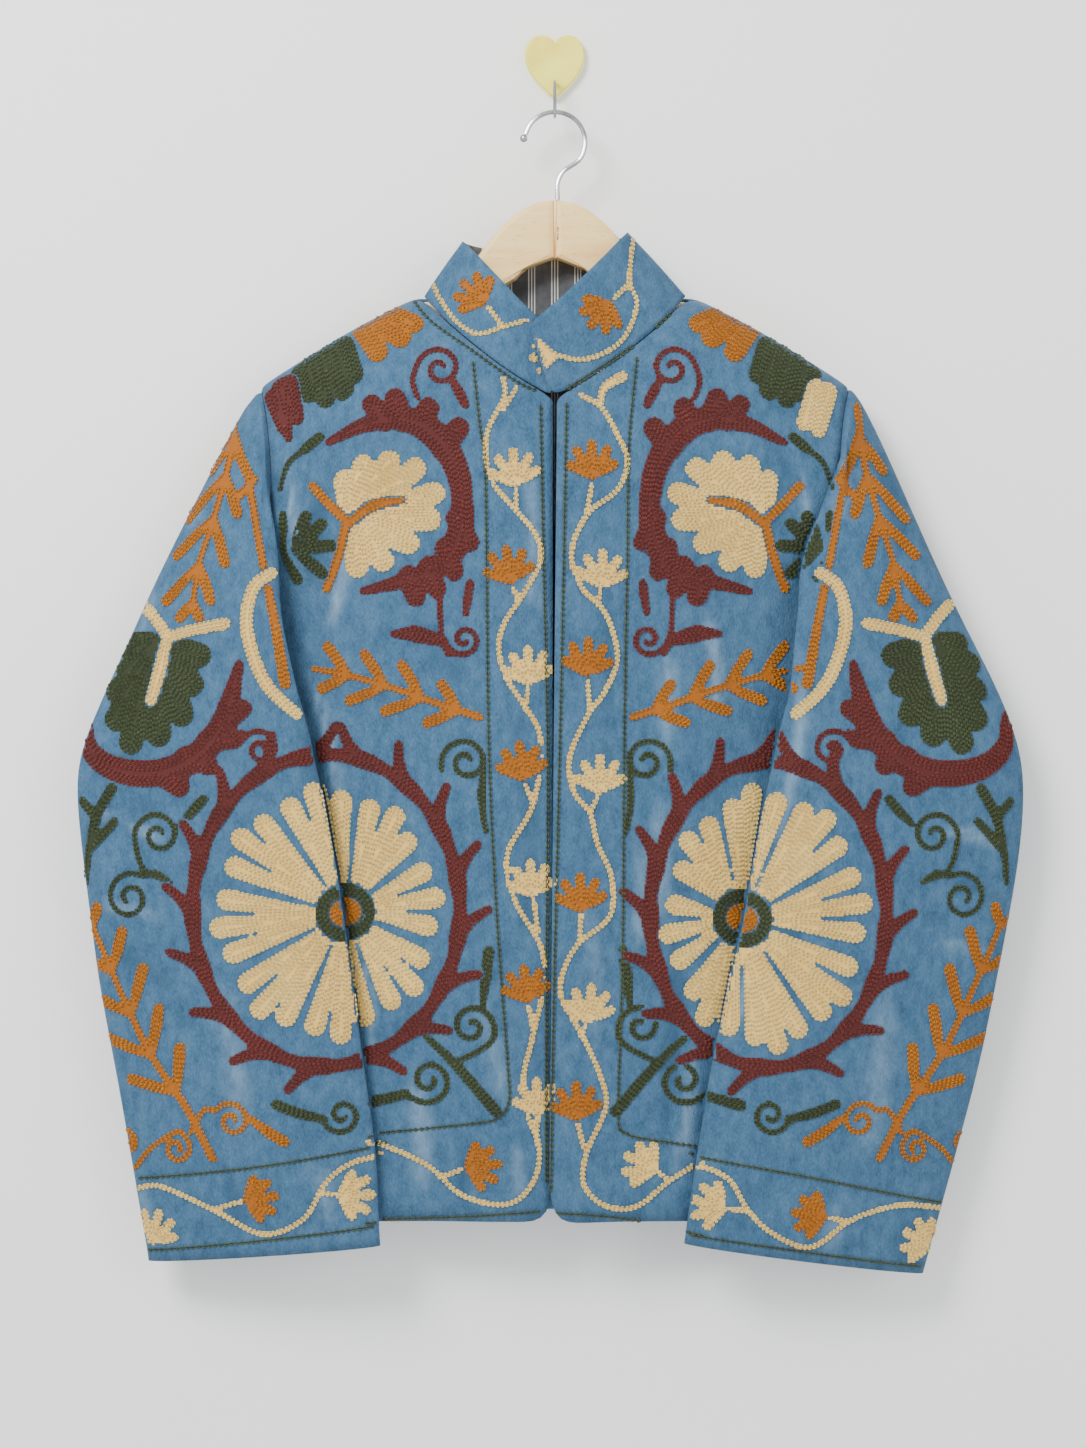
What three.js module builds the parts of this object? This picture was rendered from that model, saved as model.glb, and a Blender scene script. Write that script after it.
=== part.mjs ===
// Suzani jacket of velvet with a stand collar, hung on a wooden hanger from a small wall hook.
// Millimetres, +Z up. The wall is the plane y = 0, the front of the jacket faces -Y, and the
// origin is the middle of the wall hook's back face. The jacket's middle line is x = 0.
// Wearer's left is +X. Cloth is a wall through grids of points, moved inwards by its thickness.
import * as THREE from "three";

// Driving sizes of the cloth and its seams.
const VELVET = 2.2; // velvet with its embroidery ground, in all
const LINING = 1.0; // striped cotton
const SEAM_GAP = 0.3;
const RIDGE_Y = -26; // the plane of the hanger and of the shoulder seams
// How far below the shoulder seam the cloth reaches its full depth.
const SHOULDER_DEPTH = { front: 95, back: 28 };
const COLUMNS = { neck: 5, shoulder: 5, back: 20 };
const ROWS = 20;
const ROW_POWER = 1.6; // rows lie closer together near the shoulder
const UNDERARM_ROW = 9;
const UNDERARM_V = (UNDERARM_ROW / ROWS) ** ROW_POWER;
const NECK_U = COLUMNS.neck / (COLUMNS.neck + COLUMNS.shoulder);
const SLEEVE = { around: 28, along: 26 };
const ROLL = { out: 3, forward: 6 }; // beside the armhole the sleeve first rolls forward
const RESTING_GAP = 2.5; // how far a sleeve stays in front of the body's cloth
// How a ring's front half leans: a power of its place to the front and of its place to the inside.
const LEAN = { front: 0.9, inside: 0.8 };

// The neck and shoulder line of each front, from the centre front to the shoulder point.
const NECK_LINE = [
  { at: 0.0, x: 1.5, y: -70, z: -246 },
  { at: 0.3, x: 30, y: -66, z: -229 },
  { at: 0.6, x: 59, y: -57, z: -206 },
  { at: 0.8, x: 80, y: -45, z: -186 },
  { at: 1.0, x: 95, y: RIDGE_Y, z: -167 },
];
const SHOULDER_LINE = [
  { at: 0.0, x: 95, z: -167 },
  { at: 0.45, x: 147, z: -194 },
  { at: 1.0, x: 208, z: -232 },
];
// The back neck, from the neck point at the shoulder to the centre back.
const BACK_NECK_LINE = [
  { at: 0.0, x: 95, y: RIDGE_Y, z: -167 },
  { at: 0.2, x: 82, y: -14, z: -172 },
  { at: 0.5, x: 54, y: -10, z: -179 },
  { at: 1.0, x: 0, y: -8, z: -184 },
];
// The armhole, from the shoulder point down to the underarm, for a front and for the back.
const ARMHOLE = [
  { at: 0.0, front: 208, back: 208, z: -232 },
  { at: 0.25, front: 201, back: 204, z: -264 },
  { at: 0.5, front: 198, back: 203, z: -306 },
  { at: 0.75, front: 205, back: 210, z: -356 },
  { at: 1.0, front: 230, back: 230, z: -400 },
];
const SIDE_SEAM = [
  { at: 0.0, x: 230, z: -400 },
  { at: 0.45, x: 238, z: -585 },
  { at: 1.0, x: 254, z: -828 },
];
const HEM = { middle: -819, dip: 14 };
// Depths down a front or the back: at its middle, and at its armhole and side seam.
const FRONT_DEPTH = [
  { at: 0.0, middle: -70, edge: -46 },
  { at: 0.1, middle: -72, edge: -54 },
  { at: 0.18, middle: -72, edge: -49 },
  { at: 0.235, middle: -71.5, edge: -36 },
  { at: UNDERARM_V, middle: -71, edge: -19 },
  { at: 0.65, middle: -66, edge: -18 },
  { at: 1.0, middle: -60, edge: -17 },
];
const BACK_DEPTH = [
  { at: 0.0, middle: -8, edge: -14 },
  { at: 0.12, middle: -7, edge: -11 },
  { at: UNDERARM_V, middle: -8, edge: -18.5 },
  { at: 1.0, middle: -8, edge: -16.5 },
];
// How round a level section is towards the side: 1.6 and 0.75 give a flat middle and a soft turn.
const SECTION = { inner: 1.6, outer: 0.75 };
// The centre front edges: they drift as they hang. The wearer's left front lies a little proud.
const CENTRE_EDGE = {
  left: { top: 1.5, hem: -4.0, proud: 3 },
  right: { top: 1.5, hem: 2.0, proud: -2.5 },
};

// Rings of the sleeves: the over-arm point, the underarm point, how far the flattened tube stands
// before and behind the line between them, and how far its front half leans over the body.
const SLEEVE_RINGS = {
  right: [
    { ox: 224, oz: -254, oy: -27, ix: 240, iz: -404, iy: -30, fore: 28, aft: 17, lean: 62 },
    { ox: 248, oz: -301, oy: -30, ix: 226, iz: -414, iy: -42, fore: 26, aft: 11, lean: 58 },
    { ox: 277, oz: -358, oy: -32, ix: 194, iz: -437, iy: -56, fore: 20, aft: 9, lean: 34 },
    { ox: 300, oz: -409, oy: -34, ix: 174, iz: -466, iy: -61, fore: 16, aft: 9, lean: 8 },
    { ox: 321, oz: -455, oy: -36, ix: 166, iz: -498, iy: -62, fore: 15, aft: 9, lean: 2 },
    { ox: 338, oz: -501, oy: -37, ix: 158, iz: -531, iy: -62, fore: 15, aft: 11, lean: 0 },
    { ox: 336, oz: -550, oy: -37, ix: 151, iz: -568, iy: -62, fore: 15, aft: 10, lean: 0 },
    { ox: 330, oz: -600, oy: -36, ix: 145, iz: -609, iy: -61, fore: 15, aft: 10, lean: 0 },
    { ox: 323, oz: -655, oy: -35, ix: 138, iz: -661, iy: -60, fore: 14, aft: 9, lean: 0 },
    { ox: 312, oz: -714, oy: -34, ix: 131, iz: -714, iy: -59, fore: 14, aft: 9, lean: 0 },
    { ox: 301, oz: -777, oy: -33, ix: 123, iz: -773, iy: -58, fore: 13, aft: 9, lean: 0 },
    { ox: 288, oz: -851, oy: -32, ix: 121, iz: -835, iy: -57, fore: 13, aft: 9, lean: 0 },
  ],
  left: [
    { ox: 224, oz: -256, oy: -27, ix: 240, iz: -404, iy: -30, fore: 30, aft: 17, lean: 92 },
    { ox: 246, oz: -305, oy: -30, ix: 224, iz: -414, iy: -42, fore: 28, aft: 11, lean: 88 },
    { ox: 268, oz: -355, oy: -32, ix: 188, iz: -433, iy: -56, fore: 22, aft: 9, lean: 56 },
    { ox: 290, oz: -402, oy: -34, ix: 160, iz: -464, iy: -61, fore: 16, aft: 9, lean: 14 },
    { ox: 313, oz: -448, oy: -36, ix: 151, iz: -498, iy: -62, fore: 15, aft: 9, lean: 2 },
    { ox: 330, oz: -496, oy: -37, ix: 143, iz: -534, iy: -63, fore: 15, aft: 11, lean: 0 },
    { ox: 330, oz: -547, oy: -37, ix: 136, iz: -570, iy: -63, fore: 15, aft: 10, lean: 0 },
    { ox: 323, oz: -597, oy: -36, ix: 130, iz: -609, iy: -62, fore: 15, aft: 10, lean: 0 },
    { ox: 313, oz: -650, oy: -35, ix: 119, iz: -656, iy: -61, fore: 14, aft: 9, lean: 0 },
    { ox: 301, oz: -710, oy: -34, ix: 107, iz: -714, iy: -61, fore: 14, aft: 9, lean: 0 },
    { ox: 285, oz: -772, oy: -33, ix: 98, iz: -772, iy: -60, fore: 13, aft: 9, lean: 0 },
    { ox: 261, oz: -860, oy: -32, ix: 89, iz: -833, iy: -59, fore: 13, aft: 9, lean: 0 },
  ],
};

// The collar's top edge, from its end at the wearer's left, over the other end, round the back.
const COLLAR = { steps: 44, rows: 4, bulge: 4, base_z: SEAM_GAP + VELVET * 0.35 };
const COLLAR_START = { x: 3.5, y: 3 }; // past the centre front, and in front of it
const COLLAR_CENTRE_Y = RIDGE_Y - 10; // the collar bulges away from here
const NECK_STEPS = 12; // points of the neck seam on each front and each half of the back
const FACING_COLUMNS = 3; // the back neck facing reaches this far either side of the middle
const COLLAR_TOP = [
  { at: 0.0, x: -17, y: -79, z: -196 },
  { at: 0.1, x: 6, y: -72, z: -175 },
  { at: 0.22, x: 34, y: -54, z: -145 },
  { at: 0.3, x: 52, y: -34, z: -124 },
  { at: 0.36, x: 48, y: -18, z: -125 },
  { at: 0.43, x: 28, y: -10, z: -130 },
  { at: 0.52, x: -10, y: -8, z: -133 },
  { at: 0.62, x: -50, y: -12, z: -132 },
  { at: 0.67, x: -62, y: -19, z: -130 },
  { at: 0.71, x: -66, y: -33, z: -130 },
  { at: 0.8, x: -43, y: -54, z: -156 },
  { at: 0.9, x: -20, y: -65, z: -182 },
  { at: 1.0, x: 4, y: -68, z: -203 },
];

// Large soft folds, in the front view: a middle point, a direction in degrees, how far it runs
// either way, how wide it is, and how far it stands forward.
const FRONT_FOLDS = {
  right: [
    { x: -150, z: -245, turn: -52, run: 60, wide: 13, proud: 3.5 },
    { x: -128, z: -430, turn: -80, run: 110, wide: 16, proud: 3 },
    { x: -62, z: -640, turn: -86, run: 190, wide: 20, proud: 3.5 },
    { x: -96, z: -700, turn: -84, run: 130, wide: 14, proud: -3 },
  ],
  left: [
    { x: 152, z: -262, turn: -130, run: 55, wide: 12, proud: 4.5 },
    { x: 112, z: -440, turn: -97, run: 120, wide: 16, proud: 3 },
    { x: 84, z: -560, turn: -92, run: 200, wide: 16, proud: 4 },
    { x: 60, z: -690, turn: -92, run: 150, wide: 14, proud: -3 },
  ],
};
const BACK_FOLDS = [
  { x: -70, z: -560, turn: -88, run: 230, wide: 26, proud: -2.2 },
  { x: 64, z: -600, turn: -93, run: 220, wide: 24, proud: -2.2 },
  { x: 0, z: -700, turn: -90, run: 150, wide: 22, proud: 1.8 },
  { x: -160, z: -640, turn: -84, run: 160, wide: 20, proud: 1.6 },
  { x: 158, z: -620, turn: -96, run: 160, wide: 20, proud: 1.6 },
];
const SLEEVE_FOLDS = {
  right: [
    { x: -306, z: -520, turn: 22, run: 52, wide: 9, proud: 3.5 },
    { x: -296, z: -552, turn: 50, run: 48, wide: 9, proud: -3 },
    { x: -222, z: -330, turn: -78, run: 70, wide: 12, proud: 4 },
    { x: -300, z: -660, turn: -70, run: 80, wide: 14, proud: 2.5 },
  ],
  left: [
    { x: 292, z: -506, turn: 158, run: 52, wide: 9, proud: 3.5 },
    { x: 284, z: -540, turn: 128, run: 46, wide: 9, proud: -3 },
    { x: 216, z: -340, turn: -102, run: 70, wide: 12, proud: 4 },
    { x: 290, z: -660, turn: -110, run: 80, wide: 14, proud: 2.5 },
  ],
};

// The hanger: half of its outline, the wood's thickness, and its wire hook.
const WOOD = { thick: 11, round: 4, middle_gap: SEAM_GAP / 2, tip_x: 193, steps: 26 };
const WOOD_TOP = [
  { at: 0, z: -100 },
  { at: 12, z: -102 },
  { at: 24, z: -108.5 },
  { at: 37, z: -120 },
  { at: 50, z: -136.5 },
  { at: 62, z: -153 },
  { at: 80, z: -171.5 },
];
// The height of an arm, from its thick part by the neck to its tip; and its underside's middle.
const ARM = { neck_x: 95, high: 21, tip_high: 15, middle_z: -141 };
const SEAT_DROP = 3.6; // the cloth's facets fall this far over the rounded top of the wood
const WIRE = 3.4;
const HOOK = { radius: 21.5, z: -59, neck_x: 2, straight: 12, bend: 20, bend_x: 6 };
const HOOK_BOW = { from: -35, to: 165, step: 20 }; // degrees round the bow
const TIP_RADIUS = 2.8;

// The wall hook: a plain heart-shaped plate and a bent wire.
const PLATE = { wide: 43, high: 45, thick: 6, round: 1.5 };
const PEG = { wire: 2.4, leg_y: -19.5, bottom_z: -40.9, tip_z: -30, top_z: -12, bend: 7 };
const END_GAP = 1.5 * SEAM_GAP; // between a wire's end and the face it is fixed in

const COLOURS = {
  velvet: { color: 0x5b84a6, roughness: 0.85, metalness: 0 },
  stripe: { color: 0x4b4d50, roughness: 0.9, metalness: 0 },
  beech: { color: 0xe0bd92, roughness: 0.55, metalness: 0 },
  steel: { color: 0xb9bcc0, roughness: 0.25, metalness: 1 },
  plate: { color: 0xe8e08a, roughness: 0.35, metalness: 0 },
};

const jacket = new THREE.Group();
const lerp = THREE.MathUtils.lerp;
const clamp = THREE.MathUtils.clamp;

// A column of a table at a place, on a smooth curve that never swings past its rows.
function read(rows, column, place) {
  const last = rows.length - 1;
  const at = clamp(place, rows[0].at, rows[last].at);
  let i = 0;
  while (i < last - 1 && at > rows[i + 1].at) i += 1;
  const step = (k) => rows[k + 1].at - rows[k].at;
  const rise = (k) => (rows[k + 1][column] - rows[k][column]) / step(k);
  const slope = (k) => {
    if (k === 0) return rise(0);
    if (k === last) return rise(last - 1);
    const [a, b] = [rise(k - 1), rise(k)];
    return a * b <= 0 ? 0 : (2 * a * b) / (a + b);
  };
  const h = step(i);
  const t = (at - rows[i].at) / h;
  const [p, q] = [rows[i][column], rows[i + 1][column]];
  const [m, n] = [slope(i) * h, slope(i + 1) * h];
  return (
    p * (2 * t ** 3 - 3 * t ** 2 + 1) +
    m * (t ** 3 - 2 * t ** 2 + t) +
    q * (3 * t ** 2 - 2 * t ** 3) +
    n * (t ** 3 - t ** 2)
  );
}

// How far forward the folds bring the cloth at a place in the front view.
function foldDepth(folds, x, z) {
  let sum = 0;
  for (const fold of folds) {
    const turn = THREE.MathUtils.degToRad(fold.turn);
    const [dx, dz] = [x - fold.x, z - fold.z];
    const along = (dx * Math.cos(turn) + dz * Math.sin(turn)) / fold.run;
    const across = (dz * Math.cos(turn) - dx * Math.sin(turn)) / fold.wide;
    sum += fold.proud * Math.exp(-(across ** 2) - along ** 4);
  }
  return sum;
}

const rowAt = (row) => (row / ROWS) ** ROW_POWER;

// The fall of the cloth from the shoulder seam: 0 at the seam, 1 at its full depth.
function shoulderFall(panel, v) {
  const down = clamp((v * (SHOULDER_LINE[2].z - HEM.middle)) / SHOULDER_DEPTH[panel], 0, 1);
  return Math.sqrt(1 - (1 - down) ** 2);
}

const sectionShape = (u) => (1 - u ** SECTION.inner) ** SECTION.outer;

// The outer boundary, armhole then side seam, for "front" or "back".
function outerEdge(panel, v) {
  if (v <= UNDERARM_V) {
    const at = v / UNDERARM_V;
    return { x: read(ARMHOLE, panel, at), z: read(ARMHOLE, "z", at) };
  }
  const at = (v - UNDERARM_V) / (1 - UNDERARM_V);
  return { x: read(SIDE_SEAM, "x", at), z: read(SIDE_SEAM, "z", at) };
}

function topEdge(u) {
  if (u <= NECK_U) {
    const at = u / NECK_U;
    return {
      x: read(NECK_LINE, "x", at),
      y: read(NECK_LINE, "y", at),
      z: read(NECK_LINE, "z", at),
    };
  }
  const at = (u - NECK_U) / (1 - NECK_U);
  return { x: read(SHOULDER_LINE, "x", at), y: RIDGE_Y, z: read(SHOULDER_LINE, "z", at) };
}

function backTopEdge(u) {
  if (u >= NECK_U) return topEdge(u);
  const at = 1 - u / NECK_U;
  return {
    x: read(BACK_NECK_LINE, "x", at),
    y: read(BACK_NECK_LINE, "y", at),
    z: read(BACK_NECK_LINE, "z", at),
  };
}

// A panel's place in the front view: a patch between its top edge, hem, inner and outer edges.
function patch(top, inner, outer, corner, u, v) {
  const hemZ = (x) => HEM.middle - HEM.dip * (x / SIDE_SEAM[2].x) ** 2;
  const hemX = lerp(inner.hem, SIDE_SEAM[2].x, u);
  const x =
    lerp(top.x, hemX, v) +
    (1 - u) * (inner.x - lerp(corner.inner.x, inner.hem, v)) +
    u * (outer.x - lerp(corner.outer.x, SIDE_SEAM[2].x, v));
  const z =
    lerp(top.z, hemZ(hemX), v) + u * (outer.z - lerp(corner.outer.z, hemZ(SIDE_SEAM[2].x), v));
  return { x, z };
}

// A point of the outer face of a front. u runs from the centre front out, v down.
function frontPoint(side, u, v) {
  const sign = side === "left" ? 1 : -1;
  const edge = CENTRE_EDGE[side];
  const top = topEdge(u);
  const corner = { inner: topEdge(0), outer: topEdge(1) };
  const inner = { x: lerp(edge.top, edge.hem, v), hem: edge.hem };
  const { x, z } = patch(top, inner, outerEdge("front", v), corner, u, v);
  const [middle, rim] = [read(FRONT_DEPTH, "middle", v), read(FRONT_DEPTH, "edge", v)];
  const body = lerp(rim, middle, sectionShape(u));
  const seam = v > UNDERARM_V ? 1 - u ** 6 : 1;
  const fall = shoulderFall("front", v);
  const fold = foldDepth(FRONT_FOLDS[side], sign * x, z) * seam * fall;
  const proud = edge.proud * Math.max(0, 1 - u / NECK_U) ** 2;
  return new THREE.Vector3(sign * x, lerp(top.y, body, fall) - fold - proud, z);
}

// A point of the outer face of the back. u runs from -1 at the wearer's right to 1.
function backPoint(u, v) {
  const [sign, out] = [Math.sign(u) || 1, Math.abs(u)];
  const top = backTopEdge(out);
  const corner = { inner: backTopEdge(0), outer: topEdge(1) };
  const { x, z } = patch(top, { x: 0, hem: 0 }, outerEdge("back", v), corner, out, v);
  const [middle, rim] = [read(BACK_DEPTH, "middle", v), read(BACK_DEPTH, "edge", v)];
  const body = lerp(rim, middle, sectionShape(out));
  const seam = v > UNDERARM_V ? 1 - out ** 6 : 1;
  const fall = shoulderFall("back", v);
  const fold = foldDepth(BACK_FOLDS, sign * x, z) * seam * fall;
  return new THREE.Vector3(sign * x, lerp(top.y, body, fall) - fold, z);
}

// Unit directions into the garment at each point of a grid. reversed turns them round, and
// inSeamPlane(row, column) says where they stay in the plane of a seam between front and back.
function inwardDirections(grid, reversed, inSeamPlane) {
  const last = grid.length - 1;
  return grid.map((line, r) =>
    line.map((_, c) => {
      const end = line.length - 1;
      const down = grid[Math.min(r + 1, last)][c].clone().sub(grid[Math.max(r - 1, 0)][c]);
      const along = line[Math.min(c + 1, end)].clone().sub(line[Math.max(c - 1, 0)]);
      const normal = along.cross(down).normalize();
      if (reversed) normal.negate();
      if (inSeamPlane(r, c)) normal.setY(0).normalize();
      return normal;
    }),
  );
}

const moved = (point, direction, far) => point.clone().addScaledVector(direction, far);

// Turns a geometry's faces round if they point inwards.
function facingOut(positions, triangles) {
  const at = (i) => new THREE.Vector3().fromArray(positions, 3 * i);
  let volume = 0;
  for (let i = 0; i < triangles.length; i += 3) {
    const [a, b, c] = [at(triangles[i]), at(triangles[i + 1]), at(triangles[i + 2])];
    volume += a.dot(b.cross(c));
  }
  if (volume < 0) triangles.reverse();
  return new THREE.BufferGeometry()
    .setAttribute("position", new THREE.Float32BufferAttribute(positions, 3))
    .setIndex(triangles);
}

// A closed wall between two faces of the same grid. closed joins the last column to the first.
function wall(outer, inner, closed = false) {
  const [rows, columns] = [outer.length, outer[0].length];
  const positions = [...outer.flat(), ...inner.flat()].flatMap((p) => p.toArray());
  const id = (face, r, c) => face * rows * columns + r * columns + (c % columns);
  const triangles = [];
  const quad = (a, b, c, d) => triangles.push(a, b, c, a, c, d);
  const spans = closed ? columns : columns - 1;
  for (let c = 0; c < spans; c += 1) {
    for (let r = 0; r < rows - 1; r += 1) {
      quad(id(0, r, c), id(0, r + 1, c), id(0, r + 1, c + 1), id(0, r, c + 1));
      quad(id(1, r, c), id(1, r, c + 1), id(1, r + 1, c + 1), id(1, r + 1, c));
    }
    quad(id(0, 0, c), id(0, 0, c + 1), id(1, 0, c + 1), id(1, 0, c));
    const r = rows - 1;
    quad(id(0, r, c), id(1, r, c), id(1, r, c + 1), id(0, r, c + 1));
  }
  if (!closed) {
    const c = columns - 1;
    for (let r = 0; r < rows - 1; r += 1) {
      quad(id(0, r, 0), id(1, r, 0), id(1, r + 1, 0), id(0, r + 1, 0));
      quad(id(0, r, c), id(0, r + 1, c), id(1, r + 1, c), id(1, r, c));
    }
  }
  return facingOut(positions, triangles);
}

function add(name, colour, geometry) {
  const mesh = new THREE.Mesh(geometry, new THREE.MeshStandardMaterial(COLOURS[colour]));
  mesh.name = name;
  jacket.add(mesh);
}

const grid = (rows, columns, point) =>
  Array.from({ length: rows + 1 }, (_, r) =>
    Array.from({ length: columns + 1 }, (__, c) => point(r, c)),
  );

// Whether a grid point, column counted from the middle, lies on a seam between front and back.
function onSeam(row, column) {
  if (column === COLUMNS.neck + COLUMNS.shoulder) return row === 0 || row >= UNDERARM_ROW;
  return row === 0 && column >= COLUMNS.neck;
}
const onBackSeam = (row, column) => onSeam(row, Math.abs(column - COLUMNS.back / 2));

function frontGrids(side) {
  const columns = COLUMNS.neck + COLUMNS.shoulder;
  const outer = grid(ROWS, columns, (r, c) => frontPoint(side, c / columns, rowAt(r)));
  return { outer, inward: inwardDirections(outer, side === "right", onSeam) };
}

function backGrids() {
  const { back } = COLUMNS;
  const outer = grid(ROWS, back, (r, c) => backPoint((2 * c) / back - 1, rowAt(r)));
  return { outer, inward: inwardDirections(outer, true, onBackSeam) };
}

// The seams between front and back lie in one plane, so both sides draw back half of the gap.
function partSeams({ outer, inward }, away, isSeam) {
  outer.forEach((line, r) =>
    line.forEach((point, c) => {
      if (isSeam(r, c)) point.y += (away * SEAM_GAP) / 2;
    }),
  );
  return wall(outer, outer.map((line, r) => line.map((p, c) => moved(p, inward[r][c], VELVET))));
}

function addBody(panels) {
  add("front_right", "velvet", partSeams(panels.right, -1, onSeam));
  add("front_left", "velvet", partSeams(panels.left, -1, onSeam));
  add("back", "velvet", partSeams(panels.back, 1, onBackSeam));
}

// The armhole loop of a sleeve: down the front edge and up the back edge, SLEEVE.around points,
// each with the direction into the garment. A point lies on the straight step between two rows of
// the panel, so the edges match. At the underarm the direction turns up, into the sleeve.
function armholeLoop(side, panels) {
  const half = SLEEVE.around / 2;
  const sign = side === "left" ? 1 : -1;
  const front = { grids: panels[side], column: COLUMNS.neck + COLUMNS.shoulder };
  const rear = { grids: panels.back, column: side === "left" ? COLUMNS.back : 0 };
  const up = new THREE.Vector3(0, 0, 1);
  return Array.from({ length: SLEEVE.around }, (_, i) => {
    const { grids, column } = i <= half ? front : rear;
    const down = i <= half ? i / half : (SLEEVE.around - i) / half;
    const place = ROWS * (UNDERARM_V * down) ** (1 / ROW_POWER);
    const row = Math.min(Math.floor(place), UNDERARM_ROW - 1);
    const between = (rows) => rows[row][column].clone().lerp(rows[row + 1][column], place - row);
    const clear = new THREE.Vector3(sign, 0, down ** 2);
    return {
      point: moved(between(grids.outer), clear, 2 * SEAM_GAP),
      inward: between(grids.inward).lerp(up, down ** 3).normalize(),
    };
  });
}

// How far out a front reaches at a height below the shoulder point.
function frontReach(z) {
  let v = 0;
  while (v < 1 && outerEdge("front", v).z > z) v += 0.01;
  return outerEdge("front", v).x;
}

// The depth of a front's outer face behind a place in the front view.
function frontDepthAt(side, x, z) {
  let [u, v] = [0.5, 0.5];
  let point = frontPoint(side, u, v);
  for (let i = 0; i < 12; i += 1) {
    u = clamp(u + (Math.abs(x) - Math.abs(point.x)) / SIDE_SEAM[2].x, 0, 1);
    v = clamp(v + (point.z - z) / (SHOULDER_LINE[2].z - HEM.middle), 0, 1);
    point = frontPoint(side, u, v);
  }
  return point.y;
}

// A ring from a row of the table: the front half faces -Y and leans towards the middle.
function tableRing(side, row) {
  const sign = side === "left" ? 1 : -1;
  const points = [];
  for (let i = 0; i < SLEEVE.around; i += 1) {
    const turn = (2 * Math.PI * i) / SLEEVE.around;
    const share = (1 - Math.cos(turn)) / 2;
    const [front, bulge] = [Math.max(0, Math.sin(turn)), Math.sin(turn)];
    const lean = row.lean * front ** LEAN.front * share ** LEAN.inside;
    const x = lerp(row.ox, row.ix, share) - lean;
    const z = lerp(row.oz, row.iz, share);
    const y = lerp(row.oy, row.iy, share) - (bulge > 0 ? row.fore : row.aft) * bulge;
    const fold = front * foldDepth(SLEEVE_FOLDS[side], sign * x, z);
    const rest = x < frontReach(z) ? frontDepthAt(side, x, z) - RESTING_GAP : 0;
    points.push(new THREE.Vector3(sign * x, Math.min(y - fold, rest), z));
  }
  return points;
}

// The rings of a sleeve's outer face, on smooth curves through the armhole and the table's rings.
function sleeveRings(side, loop) {
  const sign = side === "left" ? 1 : -1;
  const seam = loop.map(({ point }) => point);
  const roll = seam.map((point, i) => {
    const forward = ROLL.forward * Math.max(0, Math.sin((2 * Math.PI * i) / SLEEVE.around));
    return point.clone().add(new THREE.Vector3(sign * ROLL.out, -forward, 0));
  });
  const knots = [seam, roll, ...SLEEVE_RINGS[side].map((row) => tableRing(side, row))];
  const curves = knots[0].map(
    (_, i) => new THREE.CatmullRomCurve3(knots.map((ring) => ring[i]), false, "centripetal"),
  );
  return Array.from({ length: SLEEVE.along + 1 }, (_, k) =>
    curves.map((curve) => curve.getPoint(k / SLEEVE.along)),
  );
}

function addSleeve(side, panels) {
  const sign = side === "left" ? 1 : -1;
  const loop = armholeLoop(side, panels);
  const outer = sleeveRings(side, loop);
  const inner = outer.map((ring, k) =>
    ring.map((point, i) => {
      if (k === 0) return moved(point, loop[i].inward, VELVET);
      const n = ring.length;
      const around = ring[(i + 1) % n].clone().sub(ring[(i + n - 1) % n]);
      const down = outer[Math.min(k + 1, outer.length - 1)][i].clone().sub(outer[k - 1][i]);
      return moved(point, around.cross(down).normalize(), -sign * VELVET);
    }),
  );
  add(`sleeve_${side}`, "velvet", wall(outer, inner, true));
}

// The neck seam as one line, from past the centre front at the wearer's left round to the right.
function neckSeam() {
  const line = [];
  const end = NECK_STEPS;
  const at = (i) => (NECK_U * i) / end;
  const start = frontPoint("left", 0, 0);
  line.push(new THREE.Vector3(start.x - COLLAR_START.x, start.y - COLLAR_START.y, start.z));
  for (let i = 1; i <= end; i += 1) line.push(frontPoint("left", at(i), 0));
  for (let i = end - 1; i > -end; i -= 1) line.push(backPoint(at(i), 0));
  for (let i = end; i >= 0; i -= 1) line.push(frontPoint("right", at(i), 0));
  return new THREE.CatmullRomCurve3(line, false, "centripetal");
}

const collarTop = (t) =>
  new THREE.Vector3(
    read(COLLAR_TOP, "x", t),
    read(COLLAR_TOP, "y", t),
    read(COLLAR_TOP, "z", t),
  );

function addCollar() {
  const seam = neckSeam();
  const lift = new THREE.Vector3(0, 0, COLLAR.base_z);
  const outer = grid(COLLAR.rows, COLLAR.steps, (r, c) => {
    const t = c / COLLAR.steps;
    const share = r / COLLAR.rows;
    const point = seam.getPointAt(t).add(lift).lerp(collarTop(t), share);
    const out = point.clone().sub(new THREE.Vector3(0, COLLAR_CENTRE_Y, point.z)).normalize();
    return moved(point, out, COLLAR.bulge * share * (1 - share));
  });
  const inward = inwardDirections(outer, true, () => false);
  const layer = (from, to, first, last) =>
    wall(
      ...[from, to].map((far) =>
        outer.map((line, r) =>
          line.slice(first, last).map((p, c) => moved(p, inward[r][c + first], far)),
        ),
      ),
    );
  add("collar", "velvet", layer(0, VELVET, 0, COLLAR.steps + 1));
  const from = VELVET + SEAM_GAP;
  add("collar_lining", "stripe", layer(from, from + LINING, 1, COLLAR.steps));
}

// The lining shows inside the back neck. It is made from the back's own points, moved in.
function addBackFacing(back) {
  const from = VELVET + SEAM_GAP;
  const half = COLUMNS.back / 2;
  const rows = { first: 1, end: UNDERARM_ROW };
  const columns = { first: half - FACING_COLUMNS, end: half + FACING_COLUMNS + 1 };
  const face = (far) =>
    back.outer
      .slice(rows.first, rows.end)
      .map((line, r) =>
        line
          .slice(columns.first, columns.end)
          .map((p, c) => moved(p, back.inward[r + rows.first][c + columns.first], far)),
      );
  add("back_facing", "stripe", wall(face(from), face(from + LINING)));
}

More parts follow.
